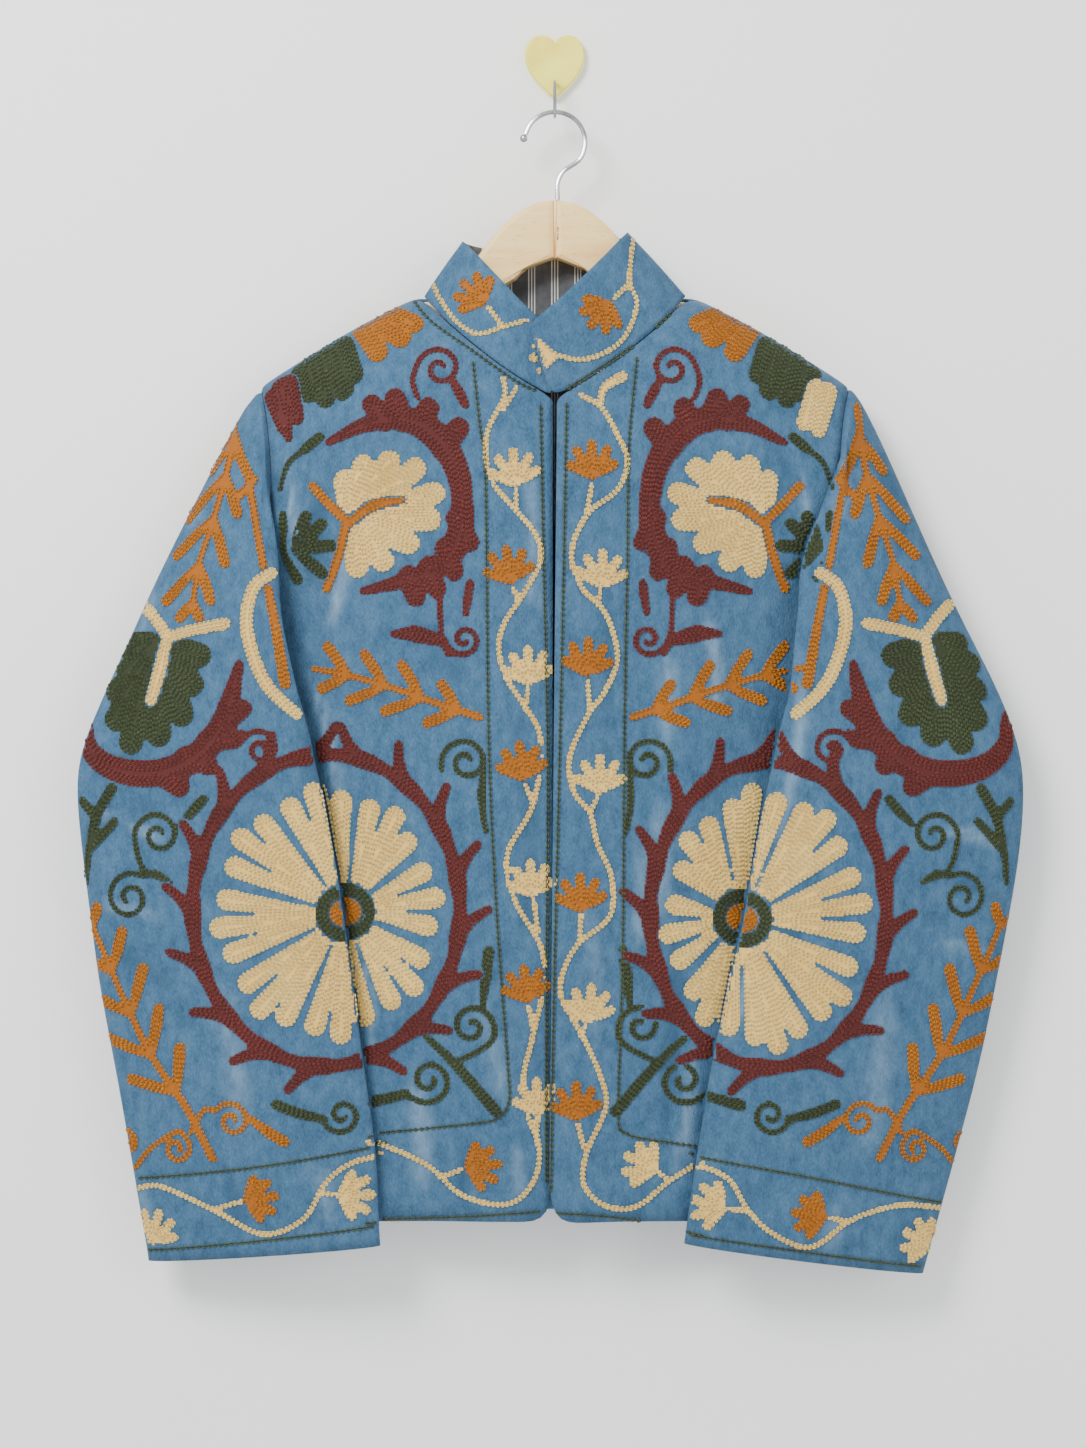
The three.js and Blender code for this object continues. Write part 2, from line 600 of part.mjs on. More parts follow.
// The top of the wood: its own line near the neck, then just under the shoulder seam.
function woodTop(x) {
  const last = WOOD_TOP[WOOD_TOP.length - 1];
  if (x <= last.at) return read(WOOD_TOP, "z", x);
  let u = 0;
  while (read(SHOULDER_LINE, "x", u) < x && u < 1) u += 0.002;
  const under = read(SHOULDER_LINE, "z", u) - VELVET - SEAM_GAP - SEAT_DROP;
  const neck = SHOULDER_LINE[0];
  const share = (x - last.at) / (neck.x - last.at);
  return x < neck.x ? lerp(last.z, under, share) : under;
}

// The underside: a straight line to the thick part of the arm, then the arm's own height.
function woodBottom(x) {
  if (x < ARM.neck_x) return lerp(ARM.middle_z, woodTop(ARM.neck_x) - ARM.high, x / ARM.neck_x);
  const share = (x - ARM.neck_x) / (WOOD.tip_x - ARM.neck_x);
  return woodTop(x) - lerp(ARM.high, ARM.tip_high, share);
}

function woodHalf(sign) {
  const shape = new THREE.Shape();
  const [bevel, steps] = [WOOD.round, WOOD.steps];
  const start = WOOD.middle_gap + bevel;
  const x = (i) => lerp(start, WOOD.tip_x, i / steps);
  shape.moveTo(sign * start, woodTop(start) - bevel);
  for (let i = 1; i <= steps; i += 1) shape.lineTo(sign * x(i), woodTop(x(i)) - bevel);
  for (let i = steps; i >= 0; i -= 2) shape.lineTo(sign * x(i), woodBottom(x(i)) + bevel);
  const geometry = new THREE.ExtrudeGeometry(shape, {
    depth: WOOD.thick - 2 * bevel,
    bevelEnabled: true,
    bevelThickness: bevel,
    bevelSize: bevel,
    bevelSegments: 2,
  });
  geometry.rotateX(Math.PI / 2);
  geometry.translate(0, RIDGE_Y + WOOD.thick / 2 - bevel, 0);
  return geometry;
}

// A round wire along points.
function wire(points, diameter, steps) {
  const curve = new THREE.CatmullRomCurve3(points, false, "centripetal");
  const round = new THREE.Shape().absarc(0, 0, diameter / 2, 0, 2 * Math.PI);
  return new THREE.ExtrudeGeometry(round, { extrudePath: curve, steps, curveSegments: 5 });
}

function addHanger() {
  add("hanger_arm_right", "beech", woodHalf(-1));
  add("hanger_arm_left", "beech", woodHalf(1));
  const at = (x, z) => new THREE.Vector3(x, RIDGE_Y, z);
  const bow = [];
  for (let turn = HOOK_BOW.from; turn <= HOOK_BOW.to; turn += HOOK_BOW.step) {
    const a = THREE.MathUtils.degToRad(turn);
    bow.push(at(HOOK.radius * Math.cos(a), HOOK.z + HOOK.radius * Math.sin(a)));
  }
  const foot = woodTop(HOOK.neck_x) + END_GAP;
  const neck = [
    at(HOOK.neck_x, foot),
    at(HOOK.neck_x, foot + HOOK.straight),
    at(HOOK.bend_x, foot + HOOK.bend),
  ];
  add("hanger_hook", "steel", wire([...neck, ...bow], WIRE, 60));
  const ball = new THREE.SphereGeometry(TIP_RADIUS, 12, 8);
  const [before, tip] = bow.slice(-2);
  const onward = tip.clone().sub(before).normalize();
  const seat = moved(tip, onward, TIP_RADIUS + SEAM_GAP);
  ball.translate(seat.x, seat.y, seat.z);
  add("hook_tip", "steel", ball);
}

function addWallHook() {
  const [w, h, bevel] = [PLATE.wide / 2 - PLATE.round, PLATE.high - 2 * PLATE.round, PLATE.round];
  const low = -h / 2;
  const heart = new THREE.Shape();
  heart.moveTo(0, low);
  heart.bezierCurveTo(w * 0.5, low + h * 0.22, w, low + h * 0.42, w, low + h * 0.7);
  heart.bezierCurveTo(w, low + h * 1.08, w * 0.2, low + h * 1.1, 0, low + h * 0.86);
  heart.bezierCurveTo(-w * 0.2, low + h * 1.1, -w, low + h * 1.08, -w, low + h * 0.7);
  heart.bezierCurveTo(-w, low + h * 0.42, -w * 0.5, low + h * 0.22, 0, low);
  const geometry = new THREE.ExtrudeGeometry(heart, {
    depth: PLATE.thick - 2 * bevel,
    bevelEnabled: true,
    bevelThickness: bevel,
    bevelSize: bevel,
    bevelSegments: 2,
    curveSegments: 8,
  });
  geometry.rotateX(Math.PI / 2);
  geometry.translate(0, -bevel, 0);
  add("wall_plate", "plate", geometry);
  const [back, front] = [PEG.leg_y, 2 * RIDGE_Y - PEG.leg_y];
  const at = (y, z) => new THREE.Vector3(0, y, z);
  const middle = (back + front) / 2;
  const route = [
    at(-PLATE.thick - END_GAP, PEG.top_z),
    at(lerp(-PLATE.thick, back, 0.6), PEG.top_z - 0.6),
    at(back, PEG.top_z - PEG.bend),
    at(back, PEG.bottom_z + PEG.bend),
    at(lerp(back, middle, 0.4), PEG.bottom_z + 1.2),
    at(middle, PEG.bottom_z),
    at(lerp(front, middle, 0.4), PEG.bottom_z + 1.2),
    at(front, PEG.bottom_z + PEG.bend),
    at(front - 1, PEG.tip_z),
  ];
  add("wall_hook", "steel", wire(route, PEG.wire, 40));
}

const panels = { right: frontGrids("right"), left: frontGrids("left"), back: backGrids() };
addBackFacing(panels.back);
addBody(panels);
addSleeve("right", panels);
addSleeve("left", panels);
addCollar();
addHanger();
addWallHook();

export default jacket;
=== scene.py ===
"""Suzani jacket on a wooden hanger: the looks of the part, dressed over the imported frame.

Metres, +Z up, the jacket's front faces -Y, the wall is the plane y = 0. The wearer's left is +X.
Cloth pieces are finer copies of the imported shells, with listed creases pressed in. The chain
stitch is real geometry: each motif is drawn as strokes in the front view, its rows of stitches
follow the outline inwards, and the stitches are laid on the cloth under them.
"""
from __future__ import annotations

import logging
import math
from collections.abc import Iterable, Sequence
from dataclasses import dataclass, field
from enum import Enum

import bmesh
import bpy
import numpy as np
from mathutils import Matrix, Vector
from mathutils.bvhtree import BVHTree

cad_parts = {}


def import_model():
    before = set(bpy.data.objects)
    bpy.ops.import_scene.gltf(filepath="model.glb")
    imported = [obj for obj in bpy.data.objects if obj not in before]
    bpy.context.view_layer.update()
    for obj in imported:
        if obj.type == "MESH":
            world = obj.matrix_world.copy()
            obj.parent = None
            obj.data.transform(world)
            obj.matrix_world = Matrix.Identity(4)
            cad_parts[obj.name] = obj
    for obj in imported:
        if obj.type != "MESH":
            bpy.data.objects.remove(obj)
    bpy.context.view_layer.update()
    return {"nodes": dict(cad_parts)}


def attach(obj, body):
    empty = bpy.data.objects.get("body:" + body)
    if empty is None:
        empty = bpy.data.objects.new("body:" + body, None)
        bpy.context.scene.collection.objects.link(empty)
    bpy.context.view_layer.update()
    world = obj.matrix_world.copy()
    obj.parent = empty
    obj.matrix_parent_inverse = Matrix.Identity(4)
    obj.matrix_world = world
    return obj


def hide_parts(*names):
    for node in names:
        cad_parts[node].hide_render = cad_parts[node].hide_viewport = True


LOG = logging.getLogger("jacket")
BODY = "root"
Colour = tuple[float, float, float, float]


def rgb(code: str) -> Colour:
    """Turn a six-digit display colour into linear light.

    Args:
        code: Red, green and blue as six hexadecimal digits.

    Returns:
        The colour with full opacity.
    """
    parts = [int(code[i : i + 2], 16) / 255 for i in (0, 2, 4)]
    linear = [p / 12.92 if p <= 0.04045 else ((p + 0.055) / 1.055) ** 2.4 for p in parts]
    return (linear[0], linear[1], linear[2], 1.0)


class Value:
    """A node socket that can be used in arithmetic."""

    def __init__(self, shade: "Shade", socket: bpy.types.NodeSocket) -> None:
        """Keep the socket and the material it belongs to."""
        self.shade = shade
        self.socket = socket

    def maths(self, operation: str, *others: "Value | float") -> "Value":
        """Add one Math node.

        Args:
            operation: The Math node's operation.
            others: The operands after this one.

        Returns:
            The node's result.
        """
        node = self.shade.node("ShaderNodeMath", {"operation": operation}, [self, *others])
        return Value(self.shade, node.outputs[0])

    def __add__(self, other: "Value | float") -> "Value":
        """Add."""
        return self.maths("ADD", other)

    def __radd__(self, other: float) -> "Value":
        """Add to a number."""
        return self.maths("ADD", other)

    def __sub__(self, other: "Value | float") -> "Value":
        """Subtract."""
        return self.maths("SUBTRACT", other)

    def __rsub__(self, other: float) -> "Value":
        """Subtract from a number."""
        return (self * -1.0) + other

    def __mul__(self, other: "Value | float") -> "Value":
        """Multiply."""
        return self.maths("MULTIPLY", other)

    def step(self, low: float, high: float) -> "Value":
        """Rise smoothly from 0 at low to 1 at high.

        Args:
            low: Where the rise begins.
            high: Where it ends.

        Returns:
            The rise, between 0 and 1.
        """
        settings = {"interpolation_type": "SMOOTHSTEP"}
        node = self.shade.node("ShaderNodeMapRange", settings, {"Value": self})
        node.inputs["From Min"].default_value = low
        node.inputs["From Max"].default_value = high
        return Value(self.shade, node.outputs["Result"])


class Shade:
    """A material under construction, with one method for any node."""

    def __init__(self, name: str) -> None:
        """Start an empty material with a Principled shader and its output."""
        self.material = bpy.data.materials.new(name)
        self.material.use_nodes = True
        self.tree = self.material.node_tree
        self.tree.nodes.clear()
        self.surface = self.node("ShaderNodeBsdfPrincipled")
        self.output = self.node("ShaderNodeOutputMaterial", {}, {"Surface": self.surface.outputs[0]})

    def node(
        self,
        kind: str,
        settings: dict[str, object] | None = None,
        inputs: dict[str | int, object] | Sequence[object] | None = None,
    ) -> bpy.types.Node:
        """Add a node.

        Args:
            kind: The node's type.
            settings: Properties set before the sockets; "stops" fills a colour ramp.
            inputs: Values or links for its sockets, by name or number, or in order.

        Returns:
            The node.
        """
        node = self.tree.nodes.new(kind)
        for name, value in (settings or {}).items():
            if name == "stops":
                self.fill_ramp(node.color_ramp, value)
            else:
                setattr(node, name, value)
        pairs = inputs.items() if isinstance(inputs, dict) else enumerate(inputs or [])
        for key, value in pairs:
            socket = value.socket if isinstance(value, Value) else value
            if isinstance(socket, bpy.types.NodeSocket):
                self.tree.links.new(socket, node.inputs[key])
            else:
                node.inputs[key].default_value = socket
        return node

    @staticmethod
    def fill_ramp(ramp: bpy.types.ColorRamp, stops: Sequence[tuple[float, Colour]]) -> None:
        """Give a colour ramp its stops.

        Args:
            ramp: The ramp of a node.
            stops: Place and colour of each stop, in order.
        """
        while len(ramp.elements) < len(stops):
            ramp.elements.new(0.5)
        for element, (place, colour) in zip(ramp.elements, stops):
            element.position = place
            element.color = colour

    def place(self, scale: tuple[float, float, float] = (1, 1, 1), turn: float = 0.0) -> Value:
        """Object coordinates, stretched and turned about Y.

        Args:
            scale: How many times finer the pattern is along each axis.
            turn: Degrees about Y.

        Returns:
            The coordinates.
        """
        where = self.node("ShaderNodeTexCoord").outputs["Object"]
        rotation = (0.0, math.radians(turn), 0.0)
        values = {"Vector": where, "Rotation": rotation, "Scale": scale}
        return Value(self, self.node("ShaderNodeMapping", {}, values).outputs[0])

    def noise(self, scale: float, detail: float = 3.0, at: Value | None = None) -> Value:
        """Cloudy variation.

        Args:
            scale: Clouds to a metre.
            detail: Octaves.
            at: Coordinates, or the object's own.

        Returns:
            The cloud's value, about 0.5 on average.
        """
        values = {"Vector": at or self.place(), "Scale": scale, "Detail": detail}
        return Value(self, self.node("ShaderNodeTexNoise", {}, values).outputs[0])

    def attribute(self, name: str) -> Value:
        """Read a number stored on the mesh."""
        node = self.node("ShaderNodeAttribute", {"attribute_name": name})
        return Value(self, node.outputs["Fac"])

    def mix(self, share: Value | float, first: object, second: object) -> Value:
        """Mix two colours.

        Args:
            share: How much of the second.
            first: A colour or a link.
            second: A colour or a link.

        Returns:
            The mixed colour.
        """
        sockets = {0: share, 6: first, 7: second}
        node = self.node("ShaderNodeMix", {"data_type": "RGBA"}, sockets)
        return Value(self, node.outputs[2])

    def ramp(self, value: Value, stops: Sequence[tuple[float, Colour]]) -> Value:
        """Colour a value by stops.

        Args:
            value: What is coloured.
            stops: Place and colour of each stop.

        Returns:
            The colour.
        """
        node = self.node("ShaderNodeValToRGB", {"stops": stops}, [value])
        return Value(self, node.outputs[0])

    def finish(
        self,
        colour: Value,
        roughness: Value | float,
        height: Value | None = None,
        depth: float = 0.0,
        **constants: object,
    ) -> bpy.types.Material:
        """Connect the shader.

        Args:
            colour: The base colour.
            roughness: A number or a varying value.
            height: The relief, if any.
            depth: The relief's height in metres.
            constants: Other sockets, by name with _ for a space, the same all over.

        Returns:
            The finished material.
        """
        links = {"Base Color": colour}
        if isinstance(roughness, Value):
            links["Roughness"] = roughness
        else:
            self.surface.inputs["Roughness"].default_value = roughness
        if height is not None:
            bump = self.node("ShaderNodeBump", {}, {"Height": height, "Distance": depth})
            links["Normal"] = Value(self, bump.outputs[0])
        for name, value in links.items():
            self.tree.links.new(value.socket, self.surface.inputs[name])
        for name, value in constants.items():
            self.surface.inputs[name.replace("_", " ")].default_value = value
        return self.material


@dataclass(frozen=True)
class VelvetFinish:
    """Dusty blue cotton velvet: mottled nap, painted highlight and wear along the ridges of its folds,
    painted shade in their troughs.
    """

    deep: Colour = rgb("264760")
    middle: Colour = rgb("3A5E7B")
    light: Colour = rgb("50718B")
    # Pale colour of the painted highlight and wear on the ridges of the folds.
    worn_and_highlight: Colour = rgb("9AB4C8")
    sheen_tint: Colour = rgb("C4DAEA")
    brushed_scale: float = 150.0
    patch_scale: float = 30.0
    nap_scale: float = 900.0
    # Crease heights over which the painted highlight and wear on ridges, and the painted shade in
    # troughs, fade in.
    ridge: tuple[float, float] = (0.15, 2.4)
    trough: tuple[float, float] = (0.15, 1.4)
    relief: float = 0.0012
    sheen: float = 0.22

    def material(self) -> bpy.types.Material:
        """Build the velvet.

        Returns:
            The material; it reads the cloth's "crease" attribute.
        """
        shade = Shade("velvet")
        brushed = shade.noise(self.brushed_scale, 6.0, shade.place((1.0, 1.0, 0.6), 14.0))
        patches = shade.noise(self.patch_scale, 3.0)
        nap = shade.noise(self.nap_scale, 2.0, shade.place((1.0, 1.0, 0.5), -20.0))
        tone = brushed * 0.4 + patches * 0.2 + nap * 0.4
        stops = [(0.32, self.deep), (0.5, self.middle), (0.7, self.light)]
        colour = shade.ramp(tone, stops)
        crease = shade.attribute("crease")
        # Painted highlight and wear: lighter along the ridges of the folds.
        ridge = crease.step(*self.ridge) * (brushed * 0.6 + 0.08)
        colour = shade.mix(ridge, colour, self.worn_and_highlight)
        # Painted shade: darker in the troughs of the folds.
        trough = (crease * -1.0).step(*self.trough) * 0.5
        colour = shade.mix(trough, colour, self.deep)
        height = nap * 0.6 + brushed * 0.4
        return shade.finish(
            colour,
            0.86 - brushed * 0.1,
            height,
            self.relief,
            Sheen_Weight=self.sheen,
            Sheen_Roughness=0.45,
            Sheen_Tint=self.sheen_tint,
            Specular_IOR_Level=0.2,
        )


@dataclass(frozen=True)
class LiningFinish:
    """Dark grey cotton with thin white stripes in threes, woven plain."""

    shadow: Colour = rgb("54565A")
    ground: Colour = rgb("6E7073")
    stripe: Colour = rgb("F4F1E8")
    group_pitch: float = 0.0165
    line_pitch: float = 0.0021
    line_width: float = 0.0007
    thread: float = 0.00045
    dust_scale: float = 130.0
    relief: float = 0.0004

    def material(self) -> bpy.types.Material:
        """Build the lining.

        Returns:
            The material.
        """
        shade = Shade("lining")
        split = shade.node("ShaderNodeSeparateXYZ", {}, [shade.place()])
        across = Value(shade, split.outputs[0])
        up = Value(shade, split.outputs[2])
        inside = across.maths("PINGPONG", self.group_pitch / 2)
        stripes = None
        for line in (0.0, self.line_pitch):
            far = (inside - line).maths("ABSOLUTE")
            mask = 1.0 - far.step(self.line_width * 0.4, self.line_width * 0.75)
            stripes = mask if stripes is None else stripes.maths("MAXIMUM", mask)
        warp = (across * (math.tau / self.thread)).maths("SINE")
        weft = (up * (math.tau / self.thread)).maths("SINE")
        weave = warp * weft * 0.5 + 0.5
        dust = shade.noise(self.dust_scale, 4.0)
        ground = shade.ramp(dust, [(0.3, self.shadow), (0.7, self.ground)])
        colour = shade.mix(stripes, ground, self.stripe)
        height = weave * 0.5 + dust * 0.5
        return shade.finish(colour, 0.88, height, self.relief, Sheen_Weight=0.1)


@dataclass(frozen=True)
class ThreadFinish:
    """Cotton embroidery thread: matt, slightly uneven, with a soft twist."""

    name: str
    dark: Colour
    light: Colour
    twist: float = 2600.0
    uneven_scale: float = 420.0
    batch_scale: float = 26.0
    relief: float = 0.0003
    shadow: float = 0.75

    def shaded(self) -> "ThreadFinish":
        """Make a darker copy of the thread, painted shade for the bed that shows between the stitches.
        """
        # Painted shade: the bed's colour is the thread's dark colour made darker still.
        red, green, blue, alpha = self.dark
        painted_shade_colour = (red * self.shadow, green * self.shadow, blue * self.shadow, alpha)
        return ThreadFinish(f"{self.name}_bed", painted_shade_colour, self.dark)

    def material(self) -> bpy.types.Material:
        """Build the thread.

        Returns:
            The material.
        """
        shade = Shade(self.name)
        uneven = shade.noise(self.uneven_scale, 3.0)
        batch = shade.noise(self.batch_scale, 2.0)
        fibre = shade.noise(self.twist, 2.0, shade.place((1.0, 1.0, 0.4), 35.0))
        tone = uneven * 0.5 + batch * 0.28 + fibre * 0.22
        colour = shade.ramp(tone, [(0.32, self.dark), (0.62, self.light)])
        return shade.finish(
            colour,
            0.72 + fibre * 0.12,
            fibre,
            self.relief,
            Sheen_Weight=0.08,
            Specular_IOR_Level=0.3,
        )


@dataclass(frozen=True)
class BeechFinish:
    """Pale sanded beech under a thin varnish, with short flecks along the grain."""

    pale: Colour = rgb("FFDD94")
    deep: Colour = rgb("F8C276")
    fleck: Colour = rgb("B98C60")
    ring_scale: float = 130.0
    fleck_scale: float = 900.0
    grain_turn: float = -24.0
    relief: float = 0.0002

    def material(self) -> bpy.types.Material:
        """Build the wood.

        Returns:
            The material.
        """
        shade = Shade("beech")
        long_way = shade.place((0.12, 1.0, 1.0), self.grain_turn)
        rings = shade.noise(self.ring_scale, 5.0, long_way)
        flecks = shade.noise(self.fleck_scale, 2.0, shade.place((0.2, 1.0, 1.0), self.grain_turn))
        colour = shade.ramp(rings, [(0.3, self.deep), (0.6, self.pale)])
        colour = shade.mix(flecks.step(0.62, 0.75) * 0.5, colour, self.fleck)
        height = rings * 0.4 + flecks * 0.6
        return shade.finish(
            colour,
            0.42 + rings * 0.15,
            height,
            self.relief,
            Coat_Weight=0.15,
            Coat_Roughness=0.3,
        )


@dataclass(frozen=True)
class WireFinish:
    """Bright drawn wire with fine marks of handling."""

    bright: Colour = rgb("C9CBCE")
    dull: Colour = rgb("9A9DA1")
    drawn_scale: float = 1500.0
    mark_scale: float = 90.0
    relief: float = 0.00008

    def material(self) -> bpy.types.Material:
        """Build the metal.

        Returns:
            The material.
        """
        shade = Shade("wire")
        drawn = shade.noise(self.drawn_scale, 3.0, shade.place((1.0, 1.0, 0.25)))
        marks = shade.noise(self.mark_scale, 3.0)
        colour = shade.ramp(drawn * 0.4 + marks * 0.6, [(0.3, self.dull), (0.6, self.bright)])
        rough = 0.16 + marks * 0.16
        return shade.finish(colour, rough, drawn, self.relief, Metallic=1.0)


@dataclass(frozen=True)
class PlateFinish:
    """Smooth pale yellow moulding with a slight orange-peel surface."""

    face: Colour = rgb("FFF565")
    shadow: Colour = rgb("F2DC4A")
    peel_scale: float = 700.0
    cloud_scale: float = 45.0
    relief: float = 0.0001

    def material(self) -> bpy.types.Material:
        """Build the plate's finish.

        Returns:
            The material.
        """
        shade = Shade("plate")
        peel = shade.noise(self.peel_scale, 2.0)
        cloud = shade.noise(self.cloud_scale, 3.0)
        colour = shade.ramp(cloud, [(0.35, self.shadow), (0.6, self.face)])
        return shade.finish(colour, 0.3 + peel * 0.12, peel, self.relief, Coat_Weight=0.2)


MM = 0.001


def deselect_all() -> None:
    """Select nothing."""
    bpy.ops.object.select_all(action="DESELECT")


def make_active(piece: bpy.types.Object) -> None:
    """Select one piece alone, so an operator acts on it only."""
    deselect_all()
    piece.select_set(True)
    bpy.context.view_layer.objects.active = piece


def apply_modifiers(piece: bpy.types.Object) -> None:
    """Apply every modifier of a piece in order."""
    make_active(piece)
    for modifier in list(piece.modifiers):
        bpy.ops.object.modifier_apply(modifier=modifier.name)


def triangle_count(piece: bpy.types.Object) -> int:
    """Count a piece's triangles."""
    return sum(len(p.vertices) - 2 for p in piece.data.polygons)


class Lay(Enum):
    """Which way a pattern is laid on the jacket: seen from the front, or from behind."""

    FRONT = 1.0
    BEHIND = -1.0


@dataclass(frozen=True)
class Crease:
    """A soft ridge or trough in the front view, in millimetres; a trough's height is negative."""

    x: float
    z: float
    to_x: float
    to_z: float
    wide: float
    high: float
    bend: float = 0.05
    fade: float = 0.35
    blunt: float = 0.15

    def at(self, x: np.ndarray, z: np.ndarray) -> np.ndarray:
        """Read its height.

        Args:
            x: Places across, in millimetres.
            z: Places up, in millimetres.

        Returns:
            How far the cloth stands forward at each place, in millimetres.
        """
        along_x, along_z = self.to_x - self.x, self.to_z - self.z
        length = math.hypot(along_x, along_z)
        ux, uz = along_x / length, along_z / length
        s = ((x - self.x) * ux + (z - self.z) * uz) / length
        across = (z - self.z) * ux - (x - self.x) * uz
        bow = self.bend * length * np.sin(np.clip(s, 0, 1) * math.pi)
        end = np.clip(np.minimum(s, 1 - s) / self.fade + self.blunt, 0, 1)
        taper = end * end * (3 - 2 * end)
        return self.high * taper * np.exp(-(((across - bow) / self.wide) ** 2))


@dataclass(frozen=True)
class CreaseField:
    """All the creases of one side of the jacket."""

    creases: tuple[Crease, ...]

    @classmethod
    def of(cls, *rows: tuple[float, ...]) -> "CreaseField":
        """Make a field from the rows of a table, whose columns are those of a crease."""
        return cls(tuple(Crease(*row) for row in rows))

    def at(self, x: np.ndarray, z: np.ndarray) -> np.ndarray:
        """Add up the creases.

        Args:
            x: Places across, in millimetres.
            z: Places up, in millimetres.

        Returns:
            The height at each place, in millimetres.
        """
        total = np.zeros_like(x)
        for crease in self.creases:
            total += crease.at(x, z)
        return total


class QuadWeaver:
    """Turns a copy of a packed shell, which is loose triangles, back into its net of quads."""

    MERGE = 2e-5
    SAME = 6e-7

    def __init__(self, mesh: bpy.types.Mesh, wall: float) -> None:
        """Merge the copy's doubles.

        Args:
            mesh: A copy of the node's mesh.
            wall: The cloth's thickness, in metres.
        """
        self.mesh = mesh
        self.wall = wall
        self.bm = bmesh.new()
        self.bm.from_mesh(mesh)
        bmesh.ops.remove_doubles(self.bm, verts=self.bm.verts, dist=self.MERGE)
        self.diagonal: dict[bmesh.types.BMEdge, bool] = {}

    def find_rims(self) -> None:
        """Tell the narrow faces of the cut edges from the two large faces of the cloth."""
        cross = {e for e in self.bm.edges if abs(e.calc_length() - self.wall) < self.SAME}
        joined = {e for e in cross if self.meets_others(e, cross)}
        self.rims = {f for f in self.bm.faces if any(e in joined for e in f.edges)}
        for edge in self.bm.edges:
            on_rim = [f in self.rims for f in edge.link_faces]
            if all(on_rim):
                self.diagonal[edge] = edge not in joined
            elif any(on_rim):
                self.diagonal[edge] = False

    @staticmethod
    def meets_others(edge: bmesh.types.BMEdge, cross: set[bmesh.types.BMEdge]) -> bool:
        """Check that an edge has another cross edge a face or two away on both sides."""
        for face in edge.link_faces:
            ring = {e for v in face.verts for e in v.link_edges}
            if len(ring & cross) < 2:
                return False
        return True

    @staticmethod
    def opposite(vert: bmesh.types.BMVert, edge: bmesh.types.BMEdge) -> bmesh.types.BMEdge:
        """Walk half way round a point of six edges.

        Args:
            vert: The point.
            edge: Where the walk begins.

        Returns:
            The edge across the point.
        """
        face = edge.link_faces[0]
        for _ in range(3):
            edge = next(e for e in face.edges if vert in e.verts and e is not edge)
            face = next(f for f in edge.link_faces if f is not face)
        return edge

    def mark(self, edge: bmesh.types.BMEdge, diagonal: bool) -> None:
        """Say what an edge is, once, and keep it to be followed."""
        if edge not in self.diagonal:
            self.diagonal[edge] = diagonal
            self.waiting.append(edge)

    def follow(self) -> None:
        """Spread what is known about the edges to their neighbours."""
        while self.waiting:
            edge = self.waiting.pop()
            for face in edge.link_faces:
                if face in self.rims:
                    continue
                known = [self.diagonal.get(e) for e in face.edges]
                if True in known:
                    for other in face.edges:
                        self.mark(other, False)
                elif known.count(False) == 2:
                    for other in face.edges:
                        self.mark(other, True)
            if self.diagonal[edge]:
                for vert in edge.verts:
                    inside = all(f not in self.rims for f in vert.link_faces)
                    if inside and len(vert.link_edges) == 6:
                        self.mark(self.opposite(vert, edge), True)

    def squareness(self, edge: bmesh.types.BMEdge) -> float:
        """Measure how far the quad over an edge is from a rectangle; less is better."""
        corners = [v.co for v in edge.verts]
        sides = [
            next(v.co for v in face.verts if v not in edge.verts) for face in edge.link_faces
        ]
        far = (sides[0] - sides[1]).length
        return abs(far - (corners[0] - corners[1]).length) / far

    def weave(self) -> None:
        """Join the triangles across their diagonals."""
        self.find_rims()
        self.waiting = [e for e, d in self.diagonal.items() if not d]
        self.follow()
        unknown = [e for e in self.bm.edges if e not in self.diagonal]
        while unknown:
            longest = [e for e in unknown if self.is_longest(e)]
            best = min(longest or unknown, key=self.squareness)
            self.mark(best, True)
            self.follow()
            unknown = [e for e in unknown if e not in self.diagonal]
        diagonals = [e for e, d in self.diagonal.items() if d]
        bmesh.ops.dissolve_edges(self.bm, edges=diagonals, use_verts=False)

    @staticmethod
    def is_longest(edge: bmesh.types.BMEdge) -> bool:
        """Check that an edge is the longest of both its triangles."""
        length = edge.calc_length()
        return all(e.calc_length() <= length + 1e-9 for f in edge.link_faces for e in f.edges)

    def layers(self, centre: Vector) -> None:
        """Number the outer face 0, the inner face 1 and the rims 0, and crease the rims.

        Args:
            centre: A point that the outer face looks away from.
        """
        cross = {e for e in self.bm.edges if abs(e.calc_length() - self.wall) < self.SAME}
        rims = {f for f in self.bm.faces if sum(e in cross for e in f.edges) == 2}
        crease = self.bm.edges.layers.float.new("crease_edge")
        for edge in self.bm.edges:
            if len({f in rims for f in edge.link_faces}) == 2:
                edge[crease] = 1.0
        left = {f for f in self.bm.faces if f not in rims}
        while left:
            patch, waiting = set(), [left.pop()]
            while waiting:
                face = waiting.pop()
                patch.add(face)
                near = {f for e in face.edges for f in e.link_faces} & left
                left -= near
                waiting.extend(near)
            look = sum(f.calc_area() * f.normal.dot(f.calc_center_median() - centre) for f in patch)
            for face in patch:
                face.material_index = 0 if look > 0 else 1

    def close(self) -> None:
        """Write the net back to the mesh."""
        for face in self.bm.faces:
            face.smooth = True
        self.bm.to_mesh(self.mesh)
        self.bm.free()


